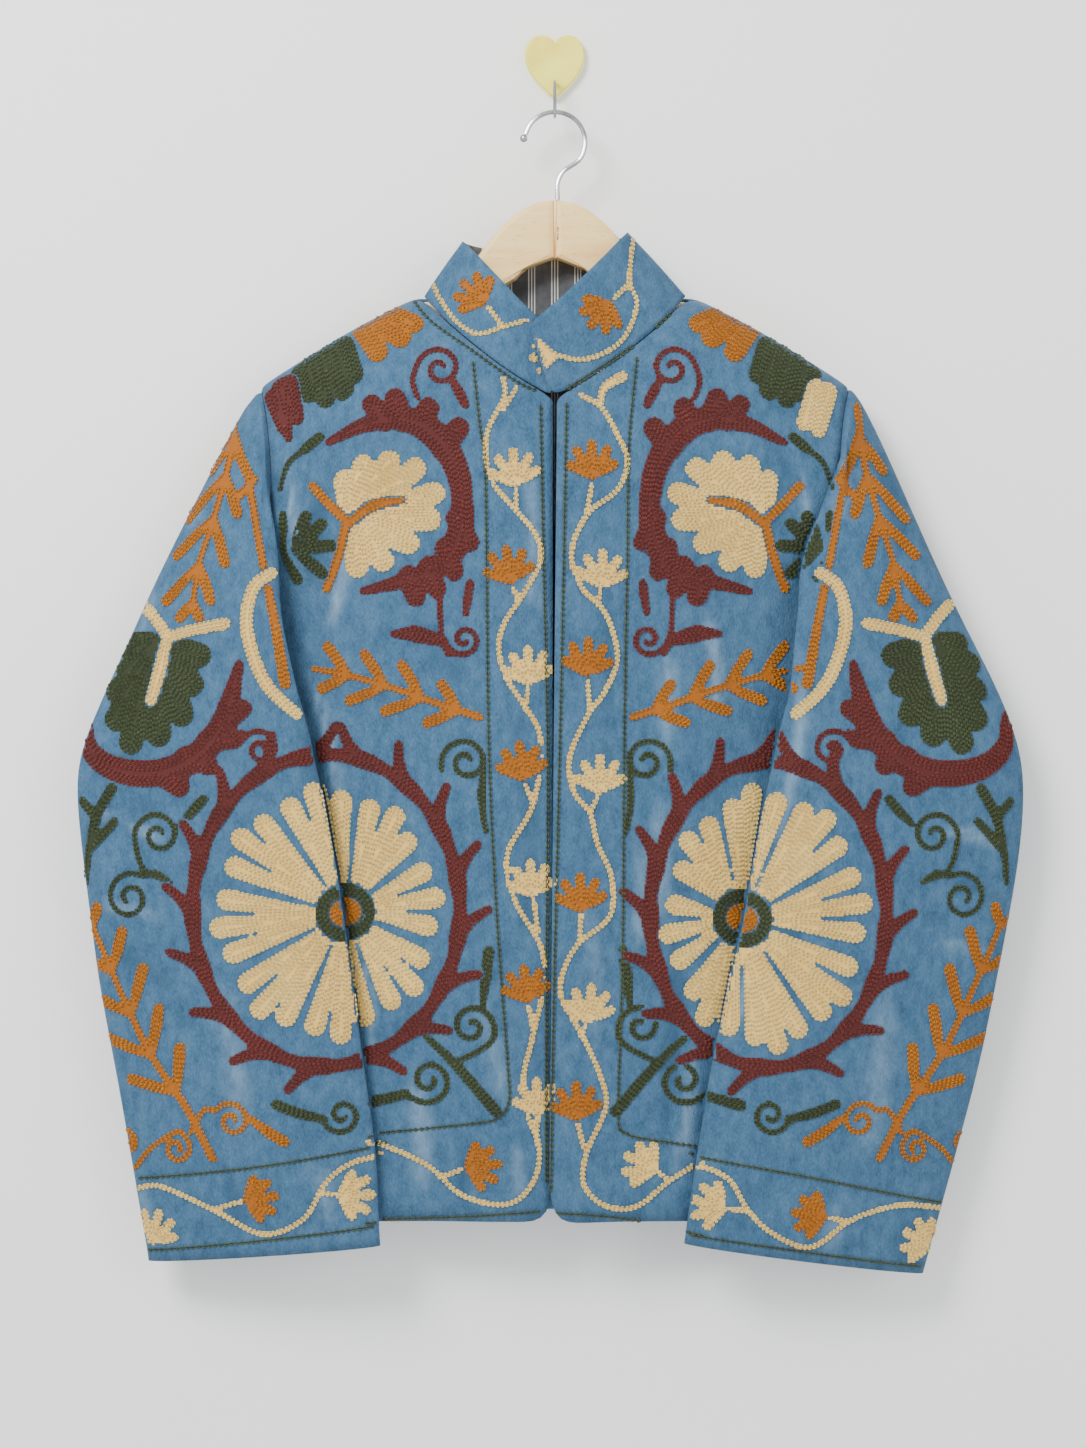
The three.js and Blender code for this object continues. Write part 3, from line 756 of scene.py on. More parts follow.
@dataclass
class ClothPanel:
    """One cut piece of the jacket, made finer from its packed shell."""

    node: str
    finishes: tuple[bpy.types.Material, ...]
    slot: str
    wall: float
    creases: CreaseField | None = None
    centre: Vector = field(default_factory=lambda: Vector((0, -0.036, -0.45)))
    levels: int = 2
    still_above: float = -255.0
    fade_down: float = 60.0
    still_beyond: float = 400.0
    fade_across: float = 30.0

    def build(self, cad: bpy.types.Object) -> bpy.types.Object:
        """Copy the shell, weave its quads, subdivide it and press its creases in.

        Args:
            cad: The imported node.

        Returns:
            The piece.
        """
        mesh = cad.data.copy()
        mesh.name = f"{self.node}_cloth"
        weaver = QuadWeaver(mesh, self.wall)
        weaver.weave()
        weaver.layers(self.centre)
        weaver.close()
        mesh.materials.clear()
        for finish in self.finishes:
            mesh.materials.append(finish)
        piece = bpy.data.objects.new(f"{self.node}_cloth", mesh)
        bpy.context.scene.collection.objects.link(piece)
        smooth = piece.modifiers.new("smooth", "SUBSURF")
        smooth.levels = smooth.render_levels = self.levels
        apply_modifiers(piece)
        self.press(piece.data)
        return piece

    def press(self, mesh: bpy.types.Mesh) -> None:
        """Press the creases in, and keep their height as the "crease" attribute.

        Args:
            mesh: The subdivided mesh.
        """
        count = len(mesh.vertices)
        points = np.empty(count * 3)
        mesh.vertices.foreach_get("co", points)
        points = points.reshape(-1, 3)
        x, z = points[:, 0] / MM, points[:, 2] / MM
        height = self.creases.at(x, z) if self.creases else np.zeros(count)
        calm = np.clip((self.still_above - z) / self.fade_down, 0, 1)
        calm *= np.clip((self.still_beyond - np.abs(x)) / self.fade_across, 0, 1)
        height *= calm
        points[:, 1] -= height * MM
        mesh.vertices.foreach_set("co", points.ravel())
        attribute = mesh.attributes.new("crease", "FLOAT", "POINT")
        attribute.data.foreach_set("value", height.astype(np.float32))
        mesh.update()


@dataclass
class Hanging:
    """The hanger and the wall hook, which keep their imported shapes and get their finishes."""

    wood: tuple[str, ...] = ("hanger_arm_right", "hanger_arm_left")
    wires: tuple[str, ...] = ("hanger_hook", "hook_tip", "wall_hook")
    plates: tuple[str, ...] = ("wall_plate",)
    smooth_below: float = 40.0

    def dress(self, nodes: dict[str, bpy.types.Object]) -> None:
        """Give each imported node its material.

        Args:
            nodes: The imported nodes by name.
        """
        looks = (
            (self.wood, BeechFinish()),
            (self.wires, WireFinish()),
            (self.plates, PlateFinish()),
        )
        for names, look in looks:
            material = look.material()
            for name in names:
                node = nodes[name]
                node.data.materials.clear()
                node.data.materials.append(material)
                self.round_edges(node)

    def round_edges(self, node: bpy.types.Object) -> None:
        """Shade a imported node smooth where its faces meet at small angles."""
        make_active(node)
        bpy.ops.object.shade_smooth_by_angle(angle=math.radians(self.smooth_below))
        deselect_all()


@dataclass
class Studio:
    """The plain wall and floor, the soft lights and the camera."""

    eye: tuple[float, float, float] = (-0.0084, -1.75, -0.4718)
    lens: float = 60.4
    sensor: float = 36.0
    wall_size: float = 6.0
    wall_place: tuple[float, float, float] = (0.0, 0.0006, -0.4)
    floor_z: float = -1.35
    lights: tuple[tuple[str, tuple[float, float, float], float, float], ...] = (
        ("key", (-0.95, -1.55, 0.75), 0.9, 56.0),
        ("fill", (1.35, -1.5, -0.25), 1.5, 12.0),
        ("back", (0.0, 1.6, 0.4), 1.6, 26.0),
    )
    aim: tuple[float, float, float] = (0.0, -0.04, -0.45)
    paint: Colour = rgb("FBFBF8")
    boards: Colour = rgb("DADCDE")
    surround: Colour = rgb("EDEFF2")
    surround_strength: float = 1.06
    paler: float = 1.02

    def camera(self) -> None:
        """Put the camera where the photograph was taken from."""
        data = bpy.data.cameras.new("camera")
        data.lens = self.lens
        data.sensor_width = self.sensor
        data.sensor_fit = "AUTO"
        camera = bpy.data.objects.new("camera", data)
        camera.location = self.eye
        camera.rotation_euler = (math.pi / 2, 0, 0)
        bpy.context.scene.collection.objects.link(camera)
        bpy.context.scene.camera = camera

    def plain(self, name: str, colour: Colour, one_sided: bool) -> bpy.types.Material:
        """Make a plain pale surface.

        Args:
            name: The material's name.
            colour: Its colour.
            one_sided: Whether it is clear from behind.

        Returns:
            The material.
        """
        shade = Shade(name)
        grain = shade.noise(3.0, 2.0)
        tone = shade.mix(grain, colour, tuple(min(1.0, c * self.paler) for c in colour))
        material = shade.finish(tone, 0.95, Specular_IOR_Level=0.1)
        if one_sided:
            facing = shade.node("ShaderNodeNewGeometry").outputs["Backfacing"]
            clear = shade.node("ShaderNodeBsdfTransparent")
            parts = [facing, shade.surface.outputs[0], clear.outputs[0]]
            mixed = shade.node("ShaderNodeMixShader", {}, parts)
            shade.tree.links.new(mixed.outputs[0], shade.output.inputs["Surface"])
        return material

    def wall(self) -> None:
        """Stand the wall just behind the plate; it is clear from behind and casts nothing."""
        deselect_all()
        turn = (math.pi / 2, 0, 0)
        size, place = self.wall_size, self.wall_place
        bpy.ops.mesh.primitive_plane_add(size=size, location=place, rotation=turn)
        wall = bpy.context.object
        wall.name = "backdrop"
        wall.data.materials.append(self.plain("backdrop", self.paint, True))
        wall.visible_shadow = False
        wall.visible_diffuse = False
        wall.visible_glossy = False

    def floor(self) -> None:
        """Lay the floor below the picture."""
        deselect_all()
        bpy.ops.mesh.primitive_plane_add(size=self.wall_size, location=(0, 0, self.floor_z))
        floor = bpy.context.object
        floor.name = "floor"
        floor.data.materials.append(self.plain("floor", self.boards, False))

    def light(self) -> None:
        """Hang the soft lights round the jacket, and lift the shadows with a pale surround."""
        for name, place, size, power in self.lights:
            data = bpy.data.lights.new(name, "AREA")
            data.shape = "DISK"
            data.size = size
            data.energy = power
            lamp = bpy.data.objects.new(name, data)
            lamp.location = place
            way = Vector(self.aim) - Vector(place)
            lamp.rotation_euler = way.to_track_quat("-Z", "Y").to_euler()
            bpy.context.scene.collection.objects.link(lamp)
        world = bpy.data.worlds.new("surround")
        world.use_nodes = True
        surround = world.node_tree.nodes["Background"]
        surround.inputs["Color"].default_value = self.surround
        surround.inputs["Strength"].default_value = self.surround_strength
        bpy.context.scene.world = world

    def build(self) -> None:
        """Set the whole studio up."""
        self.camera()
        self.wall()
        self.floor()
        self.light()


# Creases as they lie in the front view, in millimetres: x, z, to_x, to_z, wide, high.
FRONT_CREASES = CreaseField.of(
    # The fronts, from the shoulder down.
    (-129, -259, -142, -315, 5, 1.7),
    (-144, -323, -161, -413, 5, 2.0),
    (-166, -294, -174, -385, 7, -1.7),
    (-114, -385, -59, -455, 11, -1.0),
    (-24, -266, -20, -413, 7, 1.2),
    (-33, -448, -19, -637, 8, -1.2),
    (-59, -651, -35, -749, 8, 1.2),
    (-102, -707, -94, -808, 9, 1.6),
    (-68, -749, -65, -813, 7, -1.3),
    (-31, -756, -26, -811, 7, 1.3),
    (144, -259, 169, -315, 6, -2.0),
    (162, -273, 176, -343, 5, 1.6),
    (102, -385, 113, -476, 7, 1.7),
    (77, -413, 74, -497, 7, 1.6),
    (70, -518, 65, -637, 8, 1.6),
    (80, -595, 72, -770, 8, -1.7),
    (57, -542, 52, -637, 5, 1.3),
    (91, -672, 82, -798, 6, 1.7),
    (29, -357, 33, -497, 7, -1.0),
    (14, -560, 24, -721, 8, 1.0),
    (59, -756, 55, -816, 6, -1.2),
    # The right sleeve, then the left one.
    (-214, -259, -191, -329, 7, -2.3),
    (-201, -255, -181, -357, 5, 2.0),
    (-223, -262, -265, -343, 5, 1.2),
    (-276, -357, -324, -463, 5, 1.2),
    (-332, -511, -278, -494, 6, -1.7),
    (-331, -533, -265, -557, 6, 1.7),
    (-327, -557, -271, -525, 6, -1.4),
    (-327, -598, -270, -609, 6, 1.4),
    (-320, -623, -258, -665, 8, -1.2),
    (-178, -420, -150, -581, 6, 1.6),
    (-152, -567, -128, -721, 5, 1.6),
    (-178, -455, -166, -595, 8, -1.2),
    (-238, -637, -220, -777, 12, 1.2),
    (-296, -791, -285, -844, 7, 1.2),
    (-229, -780, -220, -834, 8, -1.2),
    (-166, -770, -159, -827, 8, 1.2),
    (204, -266, 191, -343, 6, 1.8),
    (219, -262, 245, -357, 7, -2.0),
    (227, -259, 276, -357, 5, 1.2),
    (276, -357, 323, -469, 5, 1.2),
    (266, -519, 326, -498, 6, -1.7),
    (262, -545, 324, -561, 6, 1.7),
    (270, -581, 320, -598, 6, -1.4),
    (259, -623, 314, -637, 7, 1.2),
    (172, -413, 148, -567, 6, 1.6),
    (142, -553, 117, -707, 5, 1.6),
    (164, -581, 150, -721, 9, -1.2),
    (227, -637, 211, -791, 12, 1.2),
    (133, -784, 128, -833, 7, -1.2),
    (196, -798, 190, -846, 8, 1.2),
    (255, -808, 248, -854, 7, -1.2),
)
BACK_CREASES = CreaseField.of(
    (-150, -262, -176, -400, 8, 1.7),
    (150, -262, 178, -410, 8, 1.7),
    (-128, -300, -120, -520, 10, -1.4),
    (130, -310, 118, -540, 10, -1.4),
    (-60, -330, -44, -600, 13, 1.4),
    (62, -350, 50, -640, 13, -1.4),
    (-100, -560, -112, -836, 12, 1.4),
    (104, -540, 116, -836, 12, 1.4),
    (-36, -640, -30, -838, 10, -1.3),
    (24, -600, 32, -838, 10, 1.3),
    (-180, -620, -196, -832, 9, -1.4),
    (182, -640, 200, -832, 9, -1.4),
)


class Thread(Enum):
    """The embroidery threads."""

    CREAM = "cream"
    RUST = "rust"
    GREEN = "green"
    OCHRE = "ochre"


CREAM, RUST, GREEN, OCHRE = Thread
THREAD_FINISHES = {
    CREAM: ThreadFinish("thread_cream", rgb("E8BE68"), rgb("FFEEA0")),
    RUST: ThreadFinish("thread_rust", rgb("521C18"), rgb("85332B")),
    GREEN: ThreadFinish("thread_green", rgb("2A331A"), rgb("536038")),
    OCHRE: ThreadFinish("thread_ochre", rgb("A05A08"), rgb("D38A12")),
}

Place = tuple[float, float]
FAR_OFF = 99.0
SPAN_STEPS = 12


def smooth_path(points: Sequence[Place], step: float) -> np.ndarray:
    """Draw a smooth line through points, at equal steps.

    Args:
        points: The points, in millimetres.
        step: The distance between the returned points.

    Returns:
        An array of places, one row each.
    """
    knots = np.array(points, float)
    if len(knots) > 2:
        first, last = 2 * knots[0] - knots[1], 2 * knots[-1] - knots[-2]
        k = np.vstack([first, knots, last])
        t = np.linspace(0, 1, SPAN_STEPS + 1)[:-1, None]
        spans = []
        for a, b, c, d in zip(k[:-3], k[1:-2], k[2:-1], k[3:]):
            bend = 2 * a - 5 * b + 4 * c - d
            spans.append(0.5 * (2 * b + (c - a) * t + bend * t**2 + (3 * b - a - 3 * c + d) * t**3))
        knots = np.vstack([*spans, knots[-1:]])
    return even_steps(knots, step)


def even_steps(line: np.ndarray, step: float, closed: bool = False) -> np.ndarray:
    """Space the points of a line evenly.

    Args:
        line: Places along the line.
        step: The wanted distance, rounded so the steps fit.
        closed: Whether the line's end joins its start.

    Returns:
        The new places; for a closed line the last isn't repeated.
    """
    if closed:
        line = np.vstack([line, line[:1]])
    lengths = np.hypot(*np.diff(line, axis=0).T)
    total = np.concatenate([[0.0], np.cumsum(lengths)])
    count = max(2, round(total[-1] / step))
    at = np.linspace(0, total[-1], count + 1)
    if closed:
        at = at[:-1]
    return np.column_stack([np.interp(at, total, line[:, i]) for i in (0, 1)])


@dataclass
class StitchMap:
    """How far each place in the front view lies from the edge of every embroidered shape."""

    low: Place = (-350.0, -885.0)
    high: Place = (350.0, -105.0)
    cell: float = 1.0
    part_gap: float = 0.35
    margin: float = 7.0
    least_step: float = 1.2
    line_step: float = 2.0
    chunk: int = 6

    def __post_init__(self) -> None:
        """Start with nothing drawn."""
        self.x = np.arange(self.low[0], self.high[0] + self.cell, self.cell)
        self.z = np.arange(self.low[1], self.high[1] + self.cell, self.cell)
        self.fields: dict[tuple[Thread, int], np.ndarray] = {}
        self.lines: list[tuple[Thread, np.ndarray]] = []

    def field_of(self, thread: Thread, part: int) -> np.ndarray:
        """Find or start the field of a thread; parts of one thread keep their own outlines."""
        key = (thread, part)
        if key not in self.fields:
            self.fields[key] = np.full((len(self.z), len(self.x)), FAR_OFF)
        return self.fields[key]

    def stroke(
        self,
        thread: Thread,
        points: Sequence[Place],
        radii: Sequence[float],
        part: int = 0,
    ) -> None:
        """Draw a line whose width changes along it.

        Args:
            thread: Its thread.
            points: Where it runs, in millimetres.
            radii: Half widths, spread evenly from start to end.
            part: Keeps it apart from others of its thread.
        """
        path = smooth_path(points, max(self.least_step, min(radii)))
        share = np.linspace(0, 1, len(path))
        wide = np.interp(share, np.linspace(0, 1, len(radii)), radii)
        target = self.field_of(thread, part)
        for first in range(0, len(path) - 1, self.chunk):
            last = min(first + self.chunk, len(path) - 1)
            run, half = path[first : last + 1], wide[first : last + 1]
            self.draw_run(target, run, half)

    def window(self, run: np.ndarray, margin: float) -> tuple[slice, slice]:
        """Find the part of the grid round some points.

        Args:
            run: The points.
            margin: How far round them.

        Returns:
            Slices of the rows and the columns.
        """
        low = np.floor((run.min(0) - margin - np.array(self.low)) / self.cell).astype(int)
        high = np.ceil((run.max(0) + margin - np.array(self.low)) / self.cell).astype(int)
        low = np.maximum(low, 0)
        return slice(low[1], max(high[1] + 1, 0)), slice(low[0], max(high[0] + 1, 0))

    def draw_run(self, target: np.ndarray, run: np.ndarray, half: np.ndarray) -> None:
        """Join a short run of a stroke to its thread's field, and clear the others under it.

        Args:
            target: The field it joins.
            run: Its points.
            half: Its half width at each.
        """
        rows, columns = self.window(run, float(half.max()) + self.margin)
        x, z = np.meshgrid(self.x[columns], self.z[rows])
        if x.size == 0:
            return
        nearest = np.full(x.shape, FAR_OFF)
        for start, end, w0, w1 in zip(run[:-1], run[1:], half[:-1], half[1:]):
            way = end - start
            length = float(way @ way) or 1e-9
            s = np.clip(((x - start[0]) * way[0] + (z - start[1]) * way[1]) / length, 0, 1)
            far = np.hypot(x - start[0] - s * way[0], z - start[1] - s * way[1])
            nearest = np.minimum(nearest, far - (w0 + (w1 - w0) * s))
        for other in self.fields.values():
            view = other[rows, columns]
            if other is target:
                np.minimum(view, nearest, out=view)
            else:
                np.maximum(view, self.part_gap - nearest, out=view)

    def line(self, thread: Thread, points: Sequence[Place]) -> None:
        """Add a single row of stitches along a line."""
        self.lines.append((thread, smooth_path(points, self.line_step)))


class Contours:
    """Lines of equal distance through a field, as closed loops."""

    def __init__(self) -> None:
        """Work out, for each way a cell's corners can lie, the pieces of line through it."""
        self.table: dict[int, list[tuple[int, int]]] = {}
        for code in range(1, 15):
            inside = [bool(code >> corner & 1) for corner in range(4)]
            pieces = []
            for corner in range(4):
                if inside[corner] and not inside[corner - 1]:
                    end = corner
                    while inside[(end + 1) % 4]:
                        end = (end + 1) % 4
                    pieces.append(((corner - 1) % 4, end))
            self.table[code] = pieces

    def loops(self, values: np.ndarray, level: float) -> list[np.ndarray]:
        """Trace where a field has a value.

        Args:
            values: The field; rows go up, columns across.
            level: The value.

        Returns:
            Closed loops in grid units, column then row.
        """
        f = values - level
        f[f == 0] = 1e-9
        inner = f < 0
        code = inner[:-1, :-1] + 2 * inner[:-1, 1:] + 4 * inner[1:, 1:] + 8 * inner[1:, :-1]
        height, width = f.shape
        starts, ends = [], []
        for kind, pieces in self.table.items():
            r, c = np.nonzero(code == kind)
            sides = [
                r * width + c,
                height * width + r * width + c + 1,
                (r + 1) * width + c,
                height * width + r * width + c,
            ]
            for a, b in pieces:
                starts.append(sides[a])
                ends.append(sides[b])
        follow = dict(zip(np.concatenate(starts).tolist(), np.concatenate(ends).tolist()))
        found = []
        while follow:
            first, here = follow.popitem()
            chain = [first]
            while here != first and here in follow:
                chain.append(here)
                here = follow.pop(here)
            if len(chain) > 3:
                found.append(self.places(f, np.array(chain)))
        return found

    @staticmethod
    def places(f: np.ndarray, chain: np.ndarray) -> np.ndarray:
        """Find where a chain of cell sides is crossed.

        Args:
            f: The field less its level.
            chain: Numbers of the crossed sides.

        Returns:
            Column and row of each crossing.
        """
        height, width = f.shape
        upright = chain >= height * width
        side = np.where(upright, chain - height * width, chain)
        r, c = side // width, side % width
        r2 = np.where(upright, np.minimum(r + 1, height - 1), r)
        c2 = np.where(upright, c, np.minimum(c + 1, width - 1))
        a, b = f[r, c], f[r2, c2]
        t = a / (a - b)
        return np.column_stack([c + t * (c2 - c), r + t * (r2 - r)])


@dataclass
class ClothGround:
    """Finds the cloth under a place in the front view, from the front or from behind."""

    pieces: dict[str, bpy.types.Object]
    far: float = 0.5

    def __post_init__(self) -> None:
        """Collect the outer faces of every cloth piece in one tree."""
        points, faces, self.owner = [], [], []
        for node, piece in self.pieces.items():
            mesh, first = piece.data, len(points)
            points.extend(v.co.copy() for v in mesh.vertices)
            for face in mesh.polygons:
                faces.append([first + i for i in face.vertices])
                self.owner.append(node)
        self.names = sorted(self.pieces)
        self.tree = BVHTree.FromPolygons(points, faces)

    def lay(self, places: np.ndarray, side: Lay) -> tuple[np.ndarray, np.ndarray, np.ndarray]:
        """Drop places of the front view onto the cloth.

        Args:
            places: Millimetres across and up, one row each.
            side: Whether they are seen from the front or from behind.

        Returns:
            Points and normals in metres, and the number of the piece, or -1 where there is none.
        """
        count = len(places)
        points, normals = np.zeros((count, 3)), np.zeros((count, 3))
        owners = np.full(count, -1)
        start_y = -self.far * side.value
        way = Vector((0, side.value, 0))
        number = {name: i for i, name in enumerate(self.names)}
        for i, (x, z) in enumerate(places):
            hit, normal, index, _ = self.tree.ray_cast(Vector((x * MM, start_y, z * MM)), way)
            if hit is None:
                continue
            if normal.y * side.value > 0:
                normal = -normal
            points[i], normals[i] = hit, normal
            owners[i] = number[self.owner[index]]
        return points, normals, owners


@dataclass
class StitchMesh:
    """Chain stitches of one thread on one piece of cloth, gathered and then made one mesh."""

    thread: Thread
    node: str
    half_width: float = 0.00060
    leg: float = 0.00050
    rise: float = 0.00074
    ground_rise: float = 0.00025
    overlap: float = 0.16
    start_rise: float = 0.75
    middle_rise: float = 1.1
    widest_at: float = 0.55
    crown: float = 0.8
    sole: float = 0.5
    inner: float = 0.9

    def __post_init__(self) -> None:
        """Start with no stitches."""
        self.vertices: list[np.ndarray] = []
        self.faces: list[np.ndarray] = []
        self.finishes: list[np.ndarray] = []
        self.count = 0

    def add(self, vertices: np.ndarray, faces: np.ndarray, finish: int = 0) -> None:
        """Add a block of vertices and the triangles on them, with the number of their finish."""
        self.vertices.append(vertices)
        self.faces.append(faces + self.count)
        self.finishes.append(np.full(len(faces), finish, np.int32))
        self.count += len(vertices)

    def links(self, start: np.ndarray, end: np.ndarray, up: np.ndarray, wide: float) -> None:
        """Add chain stitches: each is a loop of two thick threads that meet at both ends.

        Args:
            start: Where each stitch begins.
            end: Where it ends.
            up: The cloth's normal there.
            wide: How wide the stitches are, against the usual width.
        """
        way = end - start
        start = start - way * self.overlap
        side = np.cross(up, way)
        side /= np.linalg.norm(side, axis=1, keepdims=True) + 1e-12
        base, tip = start + up * self.rise * self.start_rise, end + up * self.rise
        middle = start + (end - start) * self.widest_at + up * self.rise * self.middle_rise
        half, leg = self.half_width * wide, self.leg * wide
        block = []
        for hand in (-1.0, 1.0):
            out = middle + side * half * hand
            block += [
                base,
                out + up * leg * self.crown,
                out + side * leg * hand - up * leg * self.sole,
                out - side * leg * hand * self.inner - up * leg * self.sole,
                tip,
            ]
        count = len(start)
        vertices = np.stack(block, axis=1).reshape(-1, 3)
        one = np.array([[0, 2, 1], [0, 3, 2], [0, 1, 3], [4, 1, 2], [4, 2, 3], [4, 3, 1]])
        two = one[:, ::-1] + 5
        pattern = np.vstack([one, two])
        faces = (np.arange(count)[:, None, None] * 10 + pattern[None]).reshape(-1, 3)
        self.add(vertices, faces)

    def make(self, finishes: Sequence[bpy.types.Material]) -> bpy.types.Object | None:
        """Turn what was gathered into a piece.

        Args:
            finishes: The thread's materials, for the stitches and for the bed under them; the bed's is a
                darker copy, painted shade between the stitches.

        Returns:
            The piece, or nothing where no stitch fell on this cloth.
        """
        if not self.vertices:
            return None
        vertices, faces = np.vstack(self.vertices), np.vstack(self.faces)
        name = f"chain_{self.thread.value}_{self.node}"
        mesh = bpy.data.meshes.new(name)
        mesh.vertices.add(len(vertices))
        mesh.vertices.foreach_set("co", vertices.ravel())
        mesh.loops.add(faces.size)
        mesh.loops.foreach_set("vertex_index", faces.ravel().astype(np.int32))
        mesh.polygons.add(len(faces))
        mesh.polygons.foreach_set("loop_start", np.arange(0, faces.size, 3, dtype=np.int32))
        mesh.update(calc_edges=True)
        mesh.polygons.foreach_set("use_smooth", np.ones(len(faces), bool))
        for finish in finishes:
            mesh.materials.append(finish)
        mesh.polygons.foreach_set("material_index", np.concatenate(self.finishes))
        piece = bpy.data.objects.new(name, mesh)
        bpy.context.scene.collection.objects.link(piece)
        return piece


@dataclass
class Embroiderer:
    """Works a stitch map onto the cloth: rows of chain stitch that follow each outline inwards."""

    ground: ClothGround
    row: float = 2.1
    first_row: float = 0.95
    stitch: float = 3.3
    line_stitch: float = 4.0
    line_width: float = 1.5
    bed_reach: float = 0.45
    ground_cell: int = 2
    steepest: float = 0.2
    longest: float = 2.6

    def __post_init__(self) -> None:
        """Start with no stitches of any thread."""
        self.meshes: dict[tuple[Thread, str], StitchMesh] = {}
        self.contours = Contours()

    def mesh(self, thread: Thread, owner: int) -> StitchMesh:
        """Find or start the stitches of a thread on a piece of cloth."""
        node = self.ground.names[owner]
        return self.meshes.setdefault((thread, node), StitchMesh(thread, node))

    def place(self, thread: Thread, pairs: np.ndarray, side: Lay, wide: float) -> None:
        """Lay stitches on the cloth.

        Args:
            thread: Their thread.
            pairs: Start and end of each, in the front view.
            side: Front or back.
            wide: Their width against the usual one.
        """
        if len(pairs) == 0:
            return
        first = self.ground.lay(pairs[:, 0], side)
        last = self.ground.lay(pairs[:, 1], side)
        flat = np.hypot(*(pairs[:, 1] - pairs[:, 0]).T) * MM
        length = np.linalg.norm(last[0] - first[0], axis=1)
        up = first[1] + last[1]
        up /= np.linalg.norm(up, axis=1, keepdims=True) + 1e-12
        good = (first[2] == last[2]) & (first[2] >= 0) & (length < flat * self.longest)
        good &= np.abs(up[:, 1]) > self.steepest
        for owner in np.unique(first[2][good]):
            name = self.ground.names[owner]
            chosen = good & (first[2] == owner)
            if name in BARE:
                continue
            mesh = self.mesh(thread, owner)
            mesh.links(first[0][chosen], last[0][chosen], up[chosen], wide)

    def rows(self, drawn: StitchMap, side: Lay) -> None:
        """Fill every shape of a map with rows of stitches.

        Args:
            drawn: The map.
            side: Front or back.
        """
        for (thread, _), values in drawn.fields.items():
            pairs = []
            depth = self.first_row
            while (values < -depth).any():
                for loop in self.contours.loops(values.copy(), -depth):
                    places = loop * drawn.cell + np.array(drawn.low)
                    line = even_steps(places, self.stitch, closed=True)
                    if len(line) > 2:
                        pairs.append(np.stack([line, np.roll(line, -1, axis=0)], axis=1))
                depth += self.row
            if pairs:
                self.place(thread, np.vstack(pairs), side, 1.0)

    def line_rows(self, drawn: StitchMap, side: Lay) -> None:
        """Work the single rows of a map.

        Args:
            drawn: The map.
            side: Front or back.
        """
        for thread, path in drawn.lines:
            line = even_steps(path, self.line_stitch)
            self.place(thread, np.stack([line[:-1], line[1:]], axis=1), side, self.line_width)

    def grounds(self, drawn: StitchMap, side: Lay) -> None:
        """Lay a thin bed of thread under the rows of every shape, in the thread's darker copy: painted
        shade between the stitches.

        Args:
            drawn: The map.
            side: Front or back.
        """
        step = self.ground_cell
        x, z = drawn.x[::step], drawn.z[::step]
        for thread in Thread:
            mine = [f for (owner, _), f in drawn.fields.items() if owner is thread]
            if not mine:
                continue
            full = np.minimum.reduce(mine)[::step, ::step] < self.bed_reach
            cells = full[:-1, :-1] & full[1:, :-1] & full[:-1, 1:] & full[1:, 1:]
            r, c = np.nonzero(cells)
            if len(r) == 0:
                continue
            corners = [(r, c), (r, c + 1), (r + 1, c + 1), (r + 1, c)]
            numbers = np.stack([a * len(x) + b for a, b in corners], axis=1)
            used, index = np.unique(numbers, return_inverse=True)
            index = index.reshape(-1, 4)
            places = np.column_stack([x[used % len(x)], z[used // len(x)]])
            points, normals, owners = self.ground.lay(places, side)
            quads = points[index]
            whole = (owners[index] == owners[index][:, :1]).all(axis=1) & (owners[index][:, 0] >= 0)
            spread = np.linalg.norm(quads.max(axis=1) - quads.min(axis=1), axis=1)
            whole &= spread < step * MM * self.longest
            for owner in np.unique(owners[index][whole]):
                if self.ground.names[owner] in BARE:
                    continue
                mine = whole & (owners[index][:, 0] == owner)
                local, faces = np.unique(index[mine], return_inverse=True)
                faces = faces.reshape(-1, 4)
                if side is Lay.BEHIND:
                    faces = faces[:, ::-1]
                mesh = self.mesh(thread, owner)
                raised = points[local] + normals[local] * mesh.ground_rise
                # Finish 1 is the thread's darker copy, painted shade between the stitches.
                mesh.add(raised, np.vstack([faces[:, [0, 1, 2]], faces[:, [0, 2, 3]]]), 1)

    def work(self, drawn: StitchMap, side: Lay) -> None:
        """Embroider one side of the jacket."""
        self.grounds(drawn, side)
        self.rows(drawn, side)
        self.line_rows(drawn, side)

    def make(self) -> dict[str, list[bpy.types.Object]]:
        """Make the pieces.

        Returns:
            By cloth node, one piece for each thread on it.
        """
        # Each thread's second material is its darker copy, painted shade for the bed between the
        # stitches.
        finishes = {
            thread: (finish.material(), finish.shaded().material())
            for thread, finish in THREAD_FINISHES.items()
        }
        made: dict[str, list[bpy.types.Object]] = {}
        for (thread, node), mesh in self.meshes.items():
            piece = mesh.make(finishes[thread])
            if piece is not None:
                made.setdefault(node, []).append(piece)
        return made


BARE = ("collar_lining", "back_facing")


@dataclass(frozen=True)
class Placing:
    """Where a group of motifs goes: as drawn, or mirrored about an upright line."""

    mirror: float | None = None

    def point(self, place: Place) -> Place:
        """Place a point."""
        x = place[0] if self.mirror is None else 2 * self.mirror - place[0]
        return (x, place[1])

    def points(self, places: Iterable[Place]) -> list[Place]:
        """Place several points."""
        return [self.point(place) for place in places]

    def turn(self, degrees: float) -> float:
        """Turn a direction the way the group is turned, in degrees from +X towards up."""
        return degrees if self.mirror is None else 180.0 - degrees

    def hand(self) -> float:
        """Give 1, or -1 where the group is mirrored."""
        return 1.0 if self.mirror is None else -1.0


AS_DRAWN = Placing()


def polar(place: Place, degrees: float, far: float) -> Place:
    """Find the point at a distance from a place in a direction.

    Args:
        place: Where it starts.
        degrees: The direction, from +X towards up.
        far: The distance.

    Returns:
        The point.
    """
    turn = math.radians(degrees)
    return (place[0] + far * math.cos(turn), place[1] + far * math.sin(turn))


